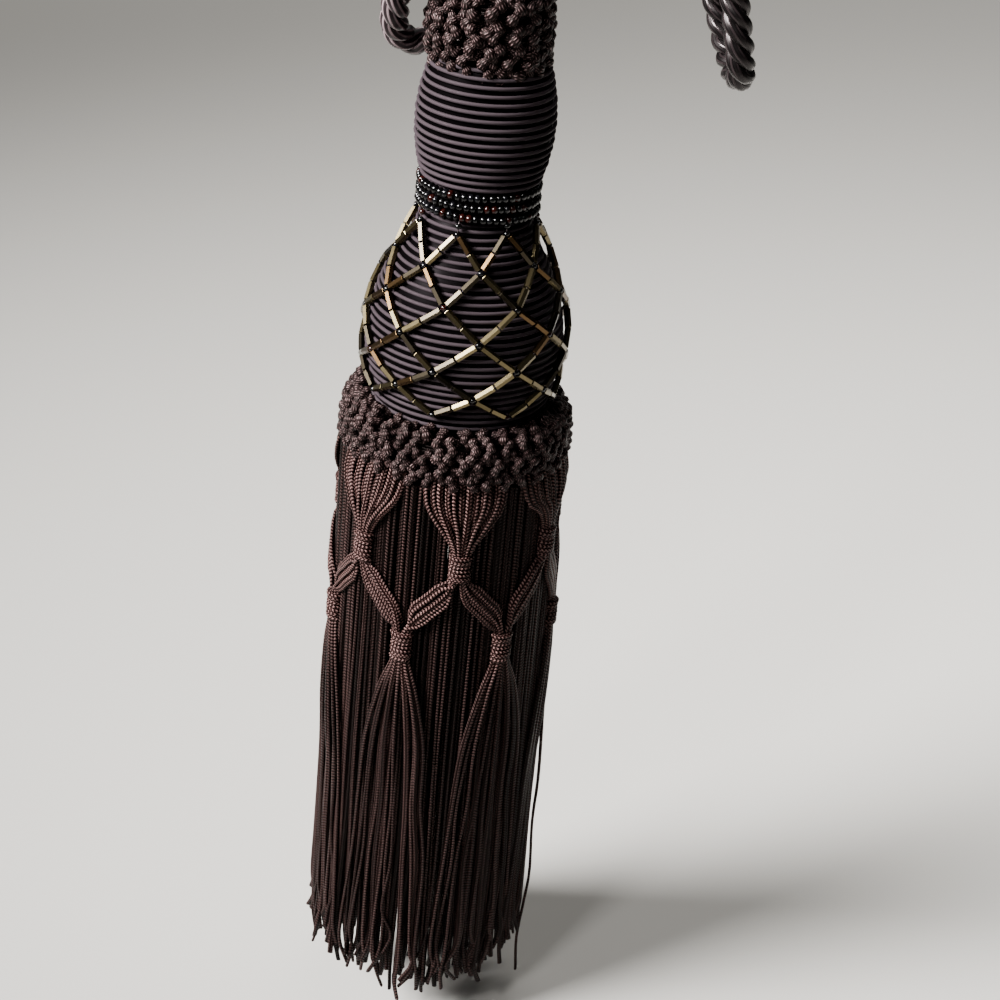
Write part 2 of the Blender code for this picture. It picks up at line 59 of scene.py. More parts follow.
MM = 0.001
HOOK_HEIGHT = 317.9             # the frame's origin above the fringe ends
TASSEL_BESIDE_HOOK = -14.0      # tassel axis, along X, from the hook
HEAD_LEAN_DEG = 0.8
LEAN_PIVOT_HEIGHT = 142.6
CURVE_SAMPLES = 12              # samples between two points of a smooth path
CORE_SHADE = -1.45              # nearly black, as a core is that only shows in the gaps
FULL_TURN = 360.0               # degrees

Socket = bpy.types.NodeSocket
Value = Union[float, int, tuple, Socket]


class Slot(Enum):
    """Material slots of the record."""

    ROPE = "rope"
    BULLION = "bullion"
    WINDING = "winding"
    SEED_BEADS = "seed_beads"
    BUGLE_BEADS = "bugle_beads"
    FRINGE = "fringe"


class Relief(Enum):
    """How the surface of a yarn is laid up."""

    RIBS = "ribs"
    BRAID = "braid"
    DOTS = "dots"


# ---- node graphs ---------------------------------------------------------------
class Graph:
    """Short-hand for building a node tree."""

    def __init__(self, tree: bpy.types.NodeTree) -> None:
        """Keep the tree that the nodes go in."""
        self.tree = tree

    def node(self, kind: str, inputs: Optional[dict] = None, **settings: object) -> bpy.types.Node:
        """Add a node.

        Args:
            kind: The node's type name.
            inputs: Values or sockets by input name or number.
            **settings: The node's own properties.

        Returns:
            The new node.
        """
        made = self.tree.nodes.new(kind)
        for name, value in settings.items():
            setattr(made, name, value)
        self.feed_all(made, inputs or {})
        return made

    def feed(self, value: Value, target: Socket) -> None:
        """Link a socket to an input, or set the input's own value."""
        if isinstance(value, bpy.types.NodeSocket):
            self.tree.links.new(value, target)
        else:
            target.default_value = value

    def feed_all(self, node: bpy.types.Node, values: dict) -> None:
        """Feed several of a node's inputs, by name or number."""
        for name, value in values.items():
            self.feed(value, node.inputs[name])

    def math(self, operation: str, first: Value, second: Value = 0.0, third: Value = 0.0) -> Socket:
        """Result of a Math node."""
        return self.node("ShaderNodeMath", {0: first, 1: second, 2: third}, operation=operation).outputs[0]

    def vector(self, operation: str, first: Value, second: Value) -> Socket:
        """Result of a Vector Math node that gives a vector."""
        return self.node("ShaderNodeVectorMath", {0: first, 1: second}, operation=operation).outputs[0]

    def scaled(self, vector: Value, factor: Value) -> Socket:
        """A vector times a number."""
        return self.node("ShaderNodeVectorMath", {"Vector": vector, "Scale": factor},
                         operation="SCALE").outputs[0]

    def parts(self, vector: Value) -> list:
        """X, Y and Z of a vector."""
        return list(self.node("ShaderNodeSeparateXYZ", {0: vector}).outputs)

    def joined(self, x: Value, y: Value, z: Value) -> Socket:
        """Vector of three numbers."""
        return self.node("ShaderNodeCombineXYZ", {0: x, 1: y, 2: z}).outputs[0]

    def mix(self, factor: Value, first: Value, second: Value, blend: str = "MIX") -> Socket:
        """Mix of two colours."""
        made = self.node("ShaderNodeMix", data_type="RGBA", blend_type=blend)
        sockets = {socket.identifier: socket for socket in made.inputs}
        for name, value in (("Factor_Float", factor), ("A_Color", first), ("B_Color", second)):
            self.feed(value, sockets[name])
        return next(socket for socket in made.outputs if socket.identifier == "Result_Color")

    def wave(self, angle: Value) -> Socket:
        """Cosine of an angle, brought into the range from 0 to 1."""
        return self.math("MULTIPLY_ADD", self.math("COSINE", angle), 0.5, 0.5)

    def ramp(self, value: Value, low: float, high: float) -> Socket:
        """Smooth step from 0 at the low value to 1 at the high one."""
        return self.node("ShaderNodeMapRange", {"Value": value, "From Min": low, "From Max": high},
                         interpolation_type="SMOOTHSTEP").outputs[0]

    def turn_round(self, vector: Value) -> Socket:
        """Angle of a vector round Z, from X towards Y."""
        x, y, _ = self.parts(vector)
        return self.math("ARCTAN2", y, x)

    def surface(self, name: str, output: str) -> Socket:
        """A mesh attribute, in a material."""
        return self.node("ShaderNodeAttribute", attribute_name=name).outputs[output]

    def placed(self, tree: bpy.types.NodeTree, values: dict) -> bpy.types.NodeOutputs:
        """Outputs of a shader group that is placed with its own values."""
        return self.node("ShaderNodeGroup", values, node_tree=tree).outputs

    def attribute(self, name: str, kind: str = "FLOAT") -> Socket:
        """A named attribute, in a geometry tree."""
        return self.node("GeometryNodeInputNamedAttribute", {"Name": name}, data_type=kind).outputs[0]

    def stored(self, geometry: Socket, name: str, value: Socket, kind: str) -> Socket:
        """Geometry with a value stored on its points."""
        return self.node("GeometryNodeStoreNamedAttribute",
                         {"Geometry": geometry, "Name": name, "Value": value},
                         data_type=kind, domain="POINT").outputs[0]

    def dressed(self, geometry: Socket, material: Socket) -> Socket:
        """Real geometry with a material on it, as a tree's last step."""
        real = self.node("GeometryNodeRealizeInstances", {"Geometry": geometry}).outputs[0]
        return self.node("GeometryNodeSetMaterial", {"Geometry": real, "Material": material}).outputs[0]


FLOAT = "NodeSocketFloat"
INTEGER = "NodeSocketInt"
COLOUR = "NodeSocketColor"
VECTOR = "NodeSocketVector"
GEOMETRY = "NodeSocketGeometry"
MATERIAL = "NodeSocketMaterial"
ON_A_PLY = {"Along": FLOAT, "Around": VECTOR}   # place on a ply: metres along it, point on its section


def new_group(name: str, inputs: dict, outputs: dict, kind: str = "ShaderNodeTree") -> tuple:
    """Node group with named sockets.

    Args:
        name: The group's name.
        inputs: Socket types by name.
        outputs: Socket types by name.
        kind: The tree's type.

    Returns:
        The graph, the sockets that it is given and its output node.
    """
    tree = bpy.data.node_groups.new(name, kind)
    for way, sockets in (("INPUT", inputs), ("OUTPUT", outputs)):
        for label, socket in sockets.items():
            tree.interface.new_socket(name=label, in_out=way, socket_type=socket)
    graph = Graph(tree)
    return graph, graph.node("NodeGroupInput").outputs, graph.node("NodeGroupOutput")


@cache
def helical_ribs_group() -> bpy.types.NodeTree:
    """Shader group: height of ribs that wind round a ply.

    Returns:
        The group; its Height goes from 0 in a groove to 1 on a rib.
    """
    graph, given, result = new_group(
        "helical_ribs", {**ON_A_PLY, "Ribs": FLOAT, "Lay": FLOAT}, {"Height": FLOAT})
    around = graph.math("MULTIPLY", graph.turn_round(given["Around"]), given["Ribs"])
    advance = graph.math("MULTIPLY", graph.math("DIVIDE", given["Along"], given["Lay"]), math.tau)
    graph.feed_all(result, {"Height": graph.wave(graph.math("ADD", around, advance))})
    return graph.tree


STITCH_FULLNESS = 0.7           # power that broadens the tops of stitches and knobs


@cache
def braid_group() -> bpy.types.NodeTree:
    """Shader group: height of a flat braid's two rows of slanting stitches.

    Returns:
        The group; its Height goes from 0 between stitches to 1 on one.
    """
    graph, given, result = new_group(
        "braid_stitches", {**ON_A_PLY, "Stitch": FLOAT, "Slant": FLOAT}, {"Height": FLOAT})
    row_offset, groove_width = 0.25, 0.45
    x, _, _ = graph.parts(given["Around"])
    side = graph.math("ABSOLUTE", x)
    offset = graph.math("MULTIPLY", graph.math("SIGN", x), row_offset)
    turns = graph.math("DIVIDE", given["Along"], given["Stitch"])
    slanted = graph.math("MULTIPLY_ADD", side, given["Slant"], graph.math("ADD", turns, offset))
    ridge = graph.math("POWER", graph.wave(graph.math("MULTIPLY", slanted, math.tau)), STITCH_FULLNESS)
    height = graph.math("MULTIPLY", ridge, graph.ramp(side, 0.0, groove_width))
    graph.feed_all(result, {"Height": height})
    return graph.tree


@cache
def dots_group() -> bpy.types.NodeTree:
    """Shader group: height of the small knobs on a close plait, in staggered rows.

    Returns:
        The group; its Height goes from 0 between knobs to 1 on one.
    """
    graph, given, result = new_group(
        "plait_knobs", {**ON_A_PLY, "Rows": FLOAT, "Stitch": FLOAT}, {"Height": FLOAT})
    around = graph.math("MULTIPLY", graph.turn_round(given["Around"]), given["Rows"])
    advance = graph.math("MULTIPLY", graph.math("DIVIDE", given["Along"], given["Stitch"]), math.pi)
    left, right = (graph.wave(graph.math(way, around, advance)) for way in ("ADD", "SUBTRACT"))
    height = graph.math("POWER", graph.math("MULTIPLY", left, right), STITCH_FULLNESS)
    graph.feed_all(result, {"Height": height})
    return graph.tree


@cache
def fibre_group() -> bpy.types.NodeTree:
    """Shader group: fine streaks of fibre that follow a ply's twist.

    Returns:
        The group; its Streak is noise from 0 to 1.
    """
    graph, given, result = new_group(
        "fibre_streaks",
        {**ON_A_PLY, "Twist": FLOAT, "Fineness": FLOAT, "Stretch": FLOAT, "Seed": FLOAT},
        {"Streak": FLOAT})
    yarn_to_yarn = 37.0         # how far the noise moves on for the next yarn's seed
    twist = graph.math("MULTIPLY", given["Along"], given["Twist"])
    turned = graph.node("ShaderNodeVectorRotate", {"Vector": given["Around"], "Angle": twist},
                        rotation_type="Z_AXIS").outputs[0]
    x, y, _ = graph.parts(graph.scaled(turned, given["Fineness"]))
    down = graph.math("DIVIDE", given["Along"], given["Stretch"])
    place = graph.joined(x, y, graph.math("ADD", down, graph.math("MULTIPLY", given["Seed"], yarn_to_yarn)))
    noise = graph.node("ShaderNodeTexNoise", {"Vector": place, "Scale": 1.0, "Detail": 2.0, "Roughness": 0.6})
    graph.feed_all(result, {"Streak": noise.outputs[0]})
    return graph.tree


@cache
def yarn_colour_group() -> bpy.types.NodeTree:
    """Shader group: colour and roughness of a yarn from its relief, its fibres and its own shade.

    Returns:
        The group.
    """
    graph, given, result = new_group(
        "yarn_colour",
        {"Crown": COLOUR, "Groove": COLOUR, "Fibre": COLOUR, "Relief": FLOAT, "Streak": FLOAT,
         "Shade": FLOAT, "Spread": FLOAT, "Gloss": FLOAT},
        {"Colour": COLOUR, "Roughness": FLOAT})
    bright_streaks, crown_tops = (0.52, 0.72), (0.55, 0.92)
    groove_dullness, streak_gloss = 0.25, 0.2
    laid = graph.mix(given["Relief"], given["Groove"], given["Crown"])
    bright = graph.ramp(given["Streak"], *bright_streaks)
    top = graph.ramp(given["Relief"], *crown_tops)
    picked = graph.math("MULTIPLY", top, graph.math("MULTIPLY_ADD", bright, 0.5, 0.5))
    drawn = graph.mix(picked, laid, given["Fibre"])
    level = graph.math("MULTIPLY_ADD", graph.math("SUBTRACT", given["Shade"], 0.5), given["Spread"], 1.0)
    grey = graph.node("ShaderNodeCombineColor", {0: level, 1: level, 2: level}).outputs[0]
    dull = graph.math("MULTIPLY_ADD", graph.math("SUBTRACT", 1.0, given["Relief"]), groove_dullness,
                      given["Gloss"])
    rough = graph.math("MULTIPLY_ADD", graph.math("SUBTRACT", 0.5, given["Streak"]), streak_gloss, dull)
    graph.feed_all(result, {"Colour": graph.mix(1.0, drawn, grey, "MULTIPLY"), "Roughness": rough})
    return graph.tree


@cache
def bead_colour_group() -> bpy.types.NodeTree:
    """Shader group: colour of one bead out of a mixed string.

    Returns:
        The group.
    """
    graph, given, result = new_group(
        "bead_colour",
        {"Plain": COLOUR, "Warm": COLOUR, "Cool": COLOUR,
         "Shade": FLOAT, "Warm Share": FLOAT, "Cool Share": FLOAT},
        {"Colour": COLOUR})
    warm = graph.math("LESS_THAN", given["Shade"], given["Warm Share"])
    cool = graph.math("GREATER_THAN", given["Shade"], graph.math("SUBTRACT", 1.0, given["Cool Share"]))
    tinted = graph.mix(warm, given["Plain"], given["Warm"])
    graph.feed_all(result, {"Colour": graph.mix(cool, tinted, given["Cool"])})
    return graph.tree


RELIEF_GROUPS = {Relief.RIBS: helical_ribs_group, Relief.BRAID: braid_group, Relief.DOTS: dots_group}


def new_material(name: str) -> tuple:
    """New material.

    Args:
        name: The material's name.

    Returns:
        The material, its graph and its shader.
    """
    made = bpy.data.materials.new(name)
    made.use_nodes = True
    return made, Graph(made.node_tree), made.node_tree.nodes["Principled BSDF"]


@dataclass(frozen=True)
class YarnFinish:
    """Finish of a yarn: colours (linear), how its plies are laid up, and its gloss."""

    slot: Slot
    crown: tuple
    groove: tuple
    fibre: tuple
    tint: tuple                 # of the highlights
    specular: float
    gloss: float
    relief_depth: float         # mm
    relief: Relief = Relief.RIBS
    ribs: float = 3.0           # ribs, or rows of knobs, round the ply
    lay: float = 2.0            # mm along the ply for one turn of the ribs
    stitch: float = 0.8         # mm from stitch to stitch of a braid
    slant: float = 0.5          # stitches that a braid's row leans from its middle to its edge
    fibre_twist: float = 400.0  # radians a metre
    fibre_fineness: float = 3.0
    fibre_stretch: float = 0.0025
    fibre_depth: float = 0.03   # mm
    spread: float = 0.5         # how much lighter a yarn of shade 1 is than one of shade 0

    @cached_property
    def material(self) -> bpy.types.Material:
        """The finish's material, built when first asked for."""
        made, graph, shader = new_material(self.slot.value + "_finish")
        on_ply = {"Along": graph.surface("along", "Fac"), "Around": graph.surface("around", "Vector")}
        shade = graph.surface("shade", "Fac")
        own = {
            Relief.RIBS: {"Ribs": self.ribs, "Lay": self.lay * MM},
            Relief.BRAID: {"Stitch": self.stitch * MM, "Slant": self.slant},
            Relief.DOTS: {"Stitch": self.stitch * MM, "Rows": self.ribs},
        }[self.relief]
        height = graph.placed(RELIEF_GROUPS[self.relief](), {**on_ply, **own})["Height"]
        streak = graph.placed(fibre_group(), {
            **on_ply, "Twist": self.fibre_twist, "Fineness": self.fibre_fineness,
            "Stretch": self.fibre_stretch, "Seed": shade})["Streak"]
        colour = graph.placed(yarn_colour_group(), {
            "Crown": self.crown, "Groove": self.groove, "Fibre": self.fibre, "Relief": height,
            "Streak": streak, "Shade": shade, "Spread": self.spread, "Gloss": self.gloss})
        raised = graph.math("MULTIPLY_ADD", height, self.relief_depth * MM,
                            graph.math("MULTIPLY", streak, self.fibre_depth * MM))
        bump = graph.node("ShaderNodeBump", {"Strength": 1.0, "Distance": 1.0, "Height": raised}).outputs[0]
        graph.feed_all(shader, {
            "Base Color": colour["Colour"], "Roughness": colour["Roughness"], "Normal": bump,
            "Specular IOR Level": self.specular, "Specular Tint": self.tint})
        return made


@dataclass(frozen=True)
class GlassFinish:
    """Finish of glass beads: three shades mixed along the string, and their gloss."""

    slot: Slot
    plain: tuple
    warm: tuple
    cool: tuple
    warm_share: float
    cool_share: float
    metallic: float
    roughness: float
    specular: float = 0.5
    mottle_scale: float = 900.0     # spots a metre
    mottle_depth: float = 0.03      # of roughness

    @cached_property
    def material(self) -> bpy.types.Material:
        """The finish's material, built when first asked for."""
        made, graph, shader = new_material(self.slot.value + "_finish")
        colour = graph.placed(bead_colour_group(), {
            "Plain": self.plain, "Warm": self.warm, "Cool": self.cool, "Shade": graph.surface("shade", "Fac"),
            "Warm Share": self.warm_share, "Cool Share": self.cool_share})["Colour"]
        place = graph.node("ShaderNodeTexCoord").outputs["Object"]
        mottle = graph.node("ShaderNodeTexNoise",
                            {"Vector": place, "Scale": self.mottle_scale, "Detail": 1.0}).outputs[0]
        graph.feed_all(shader, {
            "Base Color": colour, "Metallic": self.metallic, "Specular IOR Level": self.specular,
            "Roughness": graph.math("MULTIPLY_ADD", mottle, self.mottle_depth, self.roughness)})
        return made


# ---- geometry trees ------------------------------------------------------------
@cache
def yarn_tree() -> bpy.types.NodeTree:
    """Geometry tree that twists plies round each chain of edges.

    Returns:
        The tree. Its mesh carries the attributes along, around and shade.
    """
    graph, ask, result = new_group(
        "twisted_yarn",
        {"Geometry": GEOMETRY, "Plies": INTEGER, "Lay": FLOAT, "Ply Offset": FLOAT, "Ply Depth": FLOAT,
         "Crossings": FLOAT, "Swell": FLOAT, "Ply Radius": FLOAT, "Sides": INTEGER, "Lobes": FLOAT,
         "Lobe Depth": FLOAT, "Flatness": FLOAT, "Face Turn": FLOAT, "Material": MATERIAL},
        {"Geometry": GEOMETRY}, "GeometryNodeTree")
    along, phase, girth = (graph.attribute(name) for name in ("along", "phase", "girth"))

    # the plies' centre lines
    curve = graph.node("GeometryNodeMeshToCurve", {"Mesh": ask["Geometry"]}).outputs[0]
    length = graph.node("GeometryNodeSplineParameter").outputs["Length"]
    doubled = graph.node("GeometryNodeDuplicateElements",
                         {"Geometry": graph.stored(curve, "along", length, "FLOAT"), "Amount": ask["Plies"]},
                         domain="SPLINE")
    turns = graph.math("DIVIDE", along, ask["Lay"])
    share = graph.math("DIVIDE", doubled.outputs["Duplicate Index"], ask["Plies"])
    angle = graph.math("MULTIPLY_ADD", graph.math("ADD", turns, share), math.tau, phase)
    normal = graph.node("GeometryNodeInputNormal").outputs[0]
    tangent = graph.node("GeometryNodeInputTangent").outputs[0]
    binormal = graph.vector("CROSS_PRODUCT", tangent, normal)
    sideways = graph.math("MULTIPLY", graph.math("COSINE", angle), ask["Ply Offset"])
    dive = graph.math("SINE", graph.math("MULTIPLY", angle, ask["Crossings"]))
    inwards = graph.math("MULTIPLY", dive, ask["Ply Depth"])
    spoke = graph.vector("ADD", graph.scaled(normal, sideways), graph.scaled(binormal, inwards))
    twisted = graph.node("GeometryNodeSetPosition",
                         {"Geometry": doubled.outputs[0], "Offset": graph.scaled(spoke, girth)}).outputs[0]
    tilt = graph.math("MULTIPLY_ADD", along, ask["Face Turn"], phase)
    tilted = graph.node("GeometryNodeSetCurveTilt", {"Curve": twisted, "Tilt": tilt}).outputs[0]

    # a ply's section
    circle = graph.node("GeometryNodeCurvePrimitiveCircle",
                        {"Resolution": ask["Sides"], "Radius": 1.0}).outputs[0]
    spot = graph.node("GeometryNodeInputPosition").outputs[0]
    ringed = graph.stored(circle, "around", spot, "FLOAT_VECTOR")
    x, y, _ = graph.parts(spot)
    lobe = graph.math("COSINE", graph.math("MULTIPLY", graph.turn_round(spot), ask["Lobes"]))
    bulge = graph.math("MULTIPLY_ADD", lobe, ask["Lobe Depth"], 1.0)
    radius = graph.math("MULTIPLY", bulge, ask["Ply Radius"])
    section = graph.joined(graph.math("MULTIPLY", x, radius),
                           graph.math("MULTIPLY", graph.math("MULTIPLY", y, radius), ask["Flatness"]), 0.0)
    profile = graph.node("GeometryNodeSetPosition", {"Geometry": ringed, "Position": section}).outputs[0]

    # the tubes
    fuller = graph.math("COSINE", graph.math("MULTIPLY", angle, 2.0))
    thickness = graph.math("MULTIPLY", graph.math("MULTIPLY_ADD", fuller, ask["Swell"], 1.0), girth)
    tube = graph.node("GeometryNodeCurveToMesh", {"Curve": tilted, "Profile Curve": profile,
                                                  "Scale": thickness, "Fill Caps": True}).outputs[0]
    smooth = graph.node("GeometryNodeSetShadeSmooth", {"Geometry": tube}).outputs[0]
    graph.feed_all(result, {"Geometry": graph.dressed(smooth, ask["Material"])})
    return graph.tree


@cache
def bead_tree() -> bpy.types.NodeTree:
    """Geometry tree that threads a bead on each point, along the point's aim.

    Returns:
        The tree. Its mesh carries the attribute shade.
    """
    graph, ask, result = new_group(
        "threaded_beads", {"Geometry": GEOMETRY, "Bead": "NodeSocketObject", "Material": MATERIAL},
        {"Geometry": GEOMETRY}, "GeometryNodeTree")
    aim, span, face = (graph.attribute(name, "FLOAT_VECTOR") for name in ("aim", "span", "face"))
    bead = graph.node("GeometryNodeObjectInfo", {"Object": ask["Bead"]}).outputs["Geometry"]
    along = graph.node("FunctionNodeAlignRotationToVector", {"Vector": aim}, axis="Z").outputs[0]
    turned = graph.node("FunctionNodeAlignRotationToVector", {"Rotation": along, "Vector": face}, axis="X",
                        pivot_axis="Z").outputs[0]
    strung = graph.node("GeometryNodeInstanceOnPoints", {"Points": ask["Geometry"], "Instance": bead,
                                                         "Rotation": turned, "Scale": span}).outputs[0]
    graph.feed_all(result, {"Geometry": graph.dressed(strung, ask["Material"])})
    return graph.tree


def linked(name: str, data: bpy.types.ID) -> bpy.types.Object:
    """New object for a mesh, a light or a camera, put in the scene."""
    made = bpy.data.objects.new(name, data)
    bpy.context.scene.collection.objects.link(made)
    return made


def mark(mesh: bpy.types.Mesh, name: str, values: np.ndarray) -> None:
    """Store a number or a vector on each of a mesh's points."""
    values = np.ascontiguousarray(values, np.float32)
    kind, part = ("FLOAT_VECTOR", "vector") if values.ndim > 1 else ("FLOAT", "value")
    mesh.attributes.new(name, kind, "POINT").data.foreach_set(part, values.ravel())


def evaluated(source: bpy.types.Object, name: str, tree: bpy.types.NodeTree,
              settings: dict) -> bpy.types.Object:
    """Run a geometry tree on an object and keep the plain mesh that comes out.

    Args:
        source: The object that the tree starts from; it is removed.
        name: The new piece's name.
        tree: The geometry tree.
        settings: Values by input name.

    Returns:
        The new piece, at the origin.
    """
    modifier = source.modifiers.new("make", "NODES")
    modifier.node_group = tree
    for socket in tree.interface.items_tree:
        if socket.item_type == "SOCKET" and socket.in_out == "INPUT" and socket.name in settings:
            modifier[socket.identifier] = settings[socket.name]
    source.update_tag()
    bpy.context.view_layer.update()
    depsgraph = bpy.context.evaluated_depsgraph_get()
    mesh = bpy.data.meshes.new_from_object(source.evaluated_get(depsgraph))
    source.modifiers.remove(modifier)
    bpy.data.objects.remove(source, do_unlink=True)
    mesh.name = name
    return linked(name, mesh)


# ---- lines and yarns -----------------------------------------------------------
@dataclass
class Line:
    """Centre line of a yarn: points in metres, and how that one yarn differs from the next."""

    points: np.ndarray
    phase: float = 0.0
    shade: Union[float, np.ndarray] = 0.5
    girth: Union[float, np.ndarray] = 1.0


@dataclass(frozen=True)
class Yarn:
    """Sizes of a yarn in millimetres: its plies, their lay, and the section of one ply."""

    plies: int = 1
    lay: float = 10.0
    offset: float = 0.0
    depth: Optional[float] = None   # the offset across the yarn's face, if it isn't round
    crossings: float = 1.0      # 1 for a twist, 2 for a plait
    swell: float = 0.0          # how much fuller a ply is at the yarn's edges
    ply_radius: float = 0.8
    sides: int = 8
    lobes: float = 0.0
    lobe_depth: float = 0.0
    flatness: float = 1.0
    face_turn: float = 0.0      # radians a metre

    def spin(self, name: str, lines: Sequence[Line], material: bpy.types.Material) -> bpy.types.Object:
        """Lay the yarn along its centre lines.

        Args:
            name: The piece's name.
            lines: The centre lines.
            material: The yarn's material.

        Returns:
            The piece.
        """
        counts = [len(line.points) for line in lines]
        starts = np.concatenate(([0], np.cumsum(counts)[:-1]))
        edges = [(int(start) + k, int(start) + k + 1)
                 for start, count in zip(starts, counts) for k in range(count - 1)]
        mesh = bpy.data.meshes.new(name + "_lines")
        mesh.from_pydata(np.vstack([line.points for line in lines]).tolist(), edges, [])
        for label in ("phase", "shade", "girth"):
            values = np.concatenate([np.broadcast_to(getattr(line, label), count).astype(np.float32)
                                     for line, count in zip(lines, counts)])
            mark(mesh, label, values)
        source = linked(name + "_lines", mesh)
        depth = self.offset if self.depth is None else self.depth
        settings = {"Plies": self.plies, "Lay": self.lay * MM, "Ply Offset": self.offset * MM,
                    "Ply Depth": depth * MM, "Crossings": self.crossings, "Swell": self.swell,
                    "Ply Radius": self.ply_radius * MM, "Sides": self.sides, "Lobes": self.lobes,
                    "Lobe Depth": self.lobe_depth, "Flatness": self.flatness, "Face Turn": self.face_turn,
                    "Material": material}
        return evaluated(source, name, yarn_tree(), settings)


def smooth_path(points: Iterable, step: float) -> np.ndarray:
    """Evenly spaced points on a smooth curve through the given ones.

    Args:
        points: Points of any dimension.
        step: Spacing, in the points' own units.

    Returns:
        The points, one row each.
    """
    knots = np.asarray(points, float)
    knots = np.vstack([2 * knots[0] - knots[1], knots, 2 * knots[-1] - knots[-2]])
    t = (np.arange(CURVE_SAMPLES) / CURVE_SAMPLES)[:, None]
    dense = [0.5 * (2 * start + (end - before) * t + (2 * before - 5 * start + 4 * end - after) * t ** 2
                    + (3 * start - before - 3 * end + after) * t ** 3)
             for before, start, end, after in zip(knots, knots[1:], knots[2:], knots[3:])]
    dense.append(knots[-2:-1])
    dense = np.vstack(dense)
    walked = np.concatenate(([0.0], np.cumsum(np.linalg.norm(np.diff(dense, axis=0), axis=1))))
    count = max(2, round(walked[-1] / step) + 1)
    even = np.linspace(0.0, walked[-1], count)
    return np.stack([np.interp(even, walked, dense[:, k]) for k in range(dense.shape[1])], axis=1)


@dataclass(frozen=True)
class Axis:
    """Centre line of a part of the tassel; the head's leans a little from the lower ruff's foot up."""

    lean_deg: float = 0.0

    def points(self, azimuth: Value, radius: Value, height: Value) -> np.ndarray:
        """Places round the axis.

        Args:
            azimuth: Degrees from the front towards +X; a number or an array, as the next two.
            radius: Millimetres from the axis.
            height: Millimetres above the fringe's nominal ends.

        Returns:
            Points in metres, one row each.
        """
        azimuth, radius, height = np.broadcast_arrays(np.asarray(azimuth, float), radius, height)
        turn, lean = np.radians(azimuth), math.radians(self.lean_deg)
        x, z = radius * np.sin(turn), height - LEAN_PIVOT_HEIGHT
        across = x * math.cos(lean) + z * math.sin(lean) + TASSEL_BESIDE_HOOK
        up = z * math.cos(lean) - x * math.sin(lean) + LEAN_PIVOT_HEIGHT - HOOK_HEIGHT
        places = np.stack([across, -radius * np.cos(turn), up], axis=-1)
        return np.atleast_2d(places) * MM

    def outline(self, node: str) -> np.ndarray:
        """Outer outline of a turned CAD node.

        Args:
            node: The node's name.

        Returns:
            Rows of (radius, height) in millimetres, from the foot up.
        """
        lean = math.radians(self.lean_deg)
        found: dict = {}
        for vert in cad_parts[node].data.vertices:
            x = vert.co.x / MM - TASSEL_BESIDE_HOOK
            z = vert.co.z / MM + HOOK_HEIGHT - LEAN_PIVOT_HEIGHT
            across, up = x * math.cos(lean) - z * math.sin(lean), x * math.sin(lean) + z * math.cos(lean)
            height = round(up + LEAN_PIVOT_HEIGHT, 1)
            found[height] = max(found.get(height, 0.0), math.hypot(across, vert.co.y / MM))
        return np.array([(radius, height) for height, radius in sorted(found.items())])


UPRIGHT = Axis()
HEAD = Axis(HEAD_LEAN_DEG)


def lathe(name: str, outline: Sequence, axis: Axis, steps: int,
          material: bpy.types.Material) -> bpy.types.Object:
    """Closed turned form, for a core that shows only in the gaps of what covers it.

    Args:
        name: The object's name.
        outline: Rows of (radius, height) in mm from the foot up, which start and end on the axis.
        axis: What it is turned about.
        steps: Faces round the axis.
        material: Its material.

    Returns:
        The object.
    """
    work = bmesh.new()
    turns = np.arange(steps) * FULL_TURN / steps
    rings = []
    for radius, height in outline:
        if radius <= 0:
            rings.append([work.verts.new(axis.points(0.0, 0.0, height)[0])])
        else:
            rings.append([work.verts.new(place) for place in axis.points(turns, radius, height)])
    for lower, upper in zip(rings, rings[1:]):
        for k in range(steps):
            corners = [lower[k % len(lower)], lower[(k + 1) % len(lower)],
                       upper[(k + 1) % len(upper)], upper[k % len(upper)]]
            work.faces.new(list(dict.fromkeys(corners)))
    bmesh.ops.recalc_face_normals(work, faces=work.faces)
    mesh = bpy.data.meshes.new(name)
    work.to_mesh(mesh)
    work.free()
    mesh.shade_smooth()
    count = len(mesh.vertices)
    mark(mesh, "along", np.zeros(count))
    mark(mesh, "shade", np.full(count, CORE_SHADE))
    mark(mesh, "around", np.zeros((count, 3)))
    mesh.materials.append(material)
    return linked(name, mesh)


def join(name: str, pieces: Sequence[bpy.types.Object]) -> bpy.types.Object:
    """Join objects that share a material into the first one.

    Args:
        name: The joined piece's name.
        pieces: The objects.

    Returns:
        The joined piece.
    """
    with bpy.context.temp_override(active_object=pieces[0], selected_editable_objects=list(pieces)):
        bpy.ops.object.join()
    pieces[0].name = name
    pieces[0].data.name = name
    return pieces[0]


def hand_over(piece: bpy.types.Object, slot: Slot, *nodes: str) -> bpy.types.Object:
    """Put a finished piece on the body, in its slot and in place of its CAD nodes."""
    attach(piece, "root")
    if nodes:
        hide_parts(*nodes)
    return piece


def report(piece: bpy.types.Object) -> None:
    """Log a piece's name and size."""
    piece.data.calc_loop_triangles()
    LOG.info("%s: %d triangles", piece.name, len(piece.data.loop_triangles))


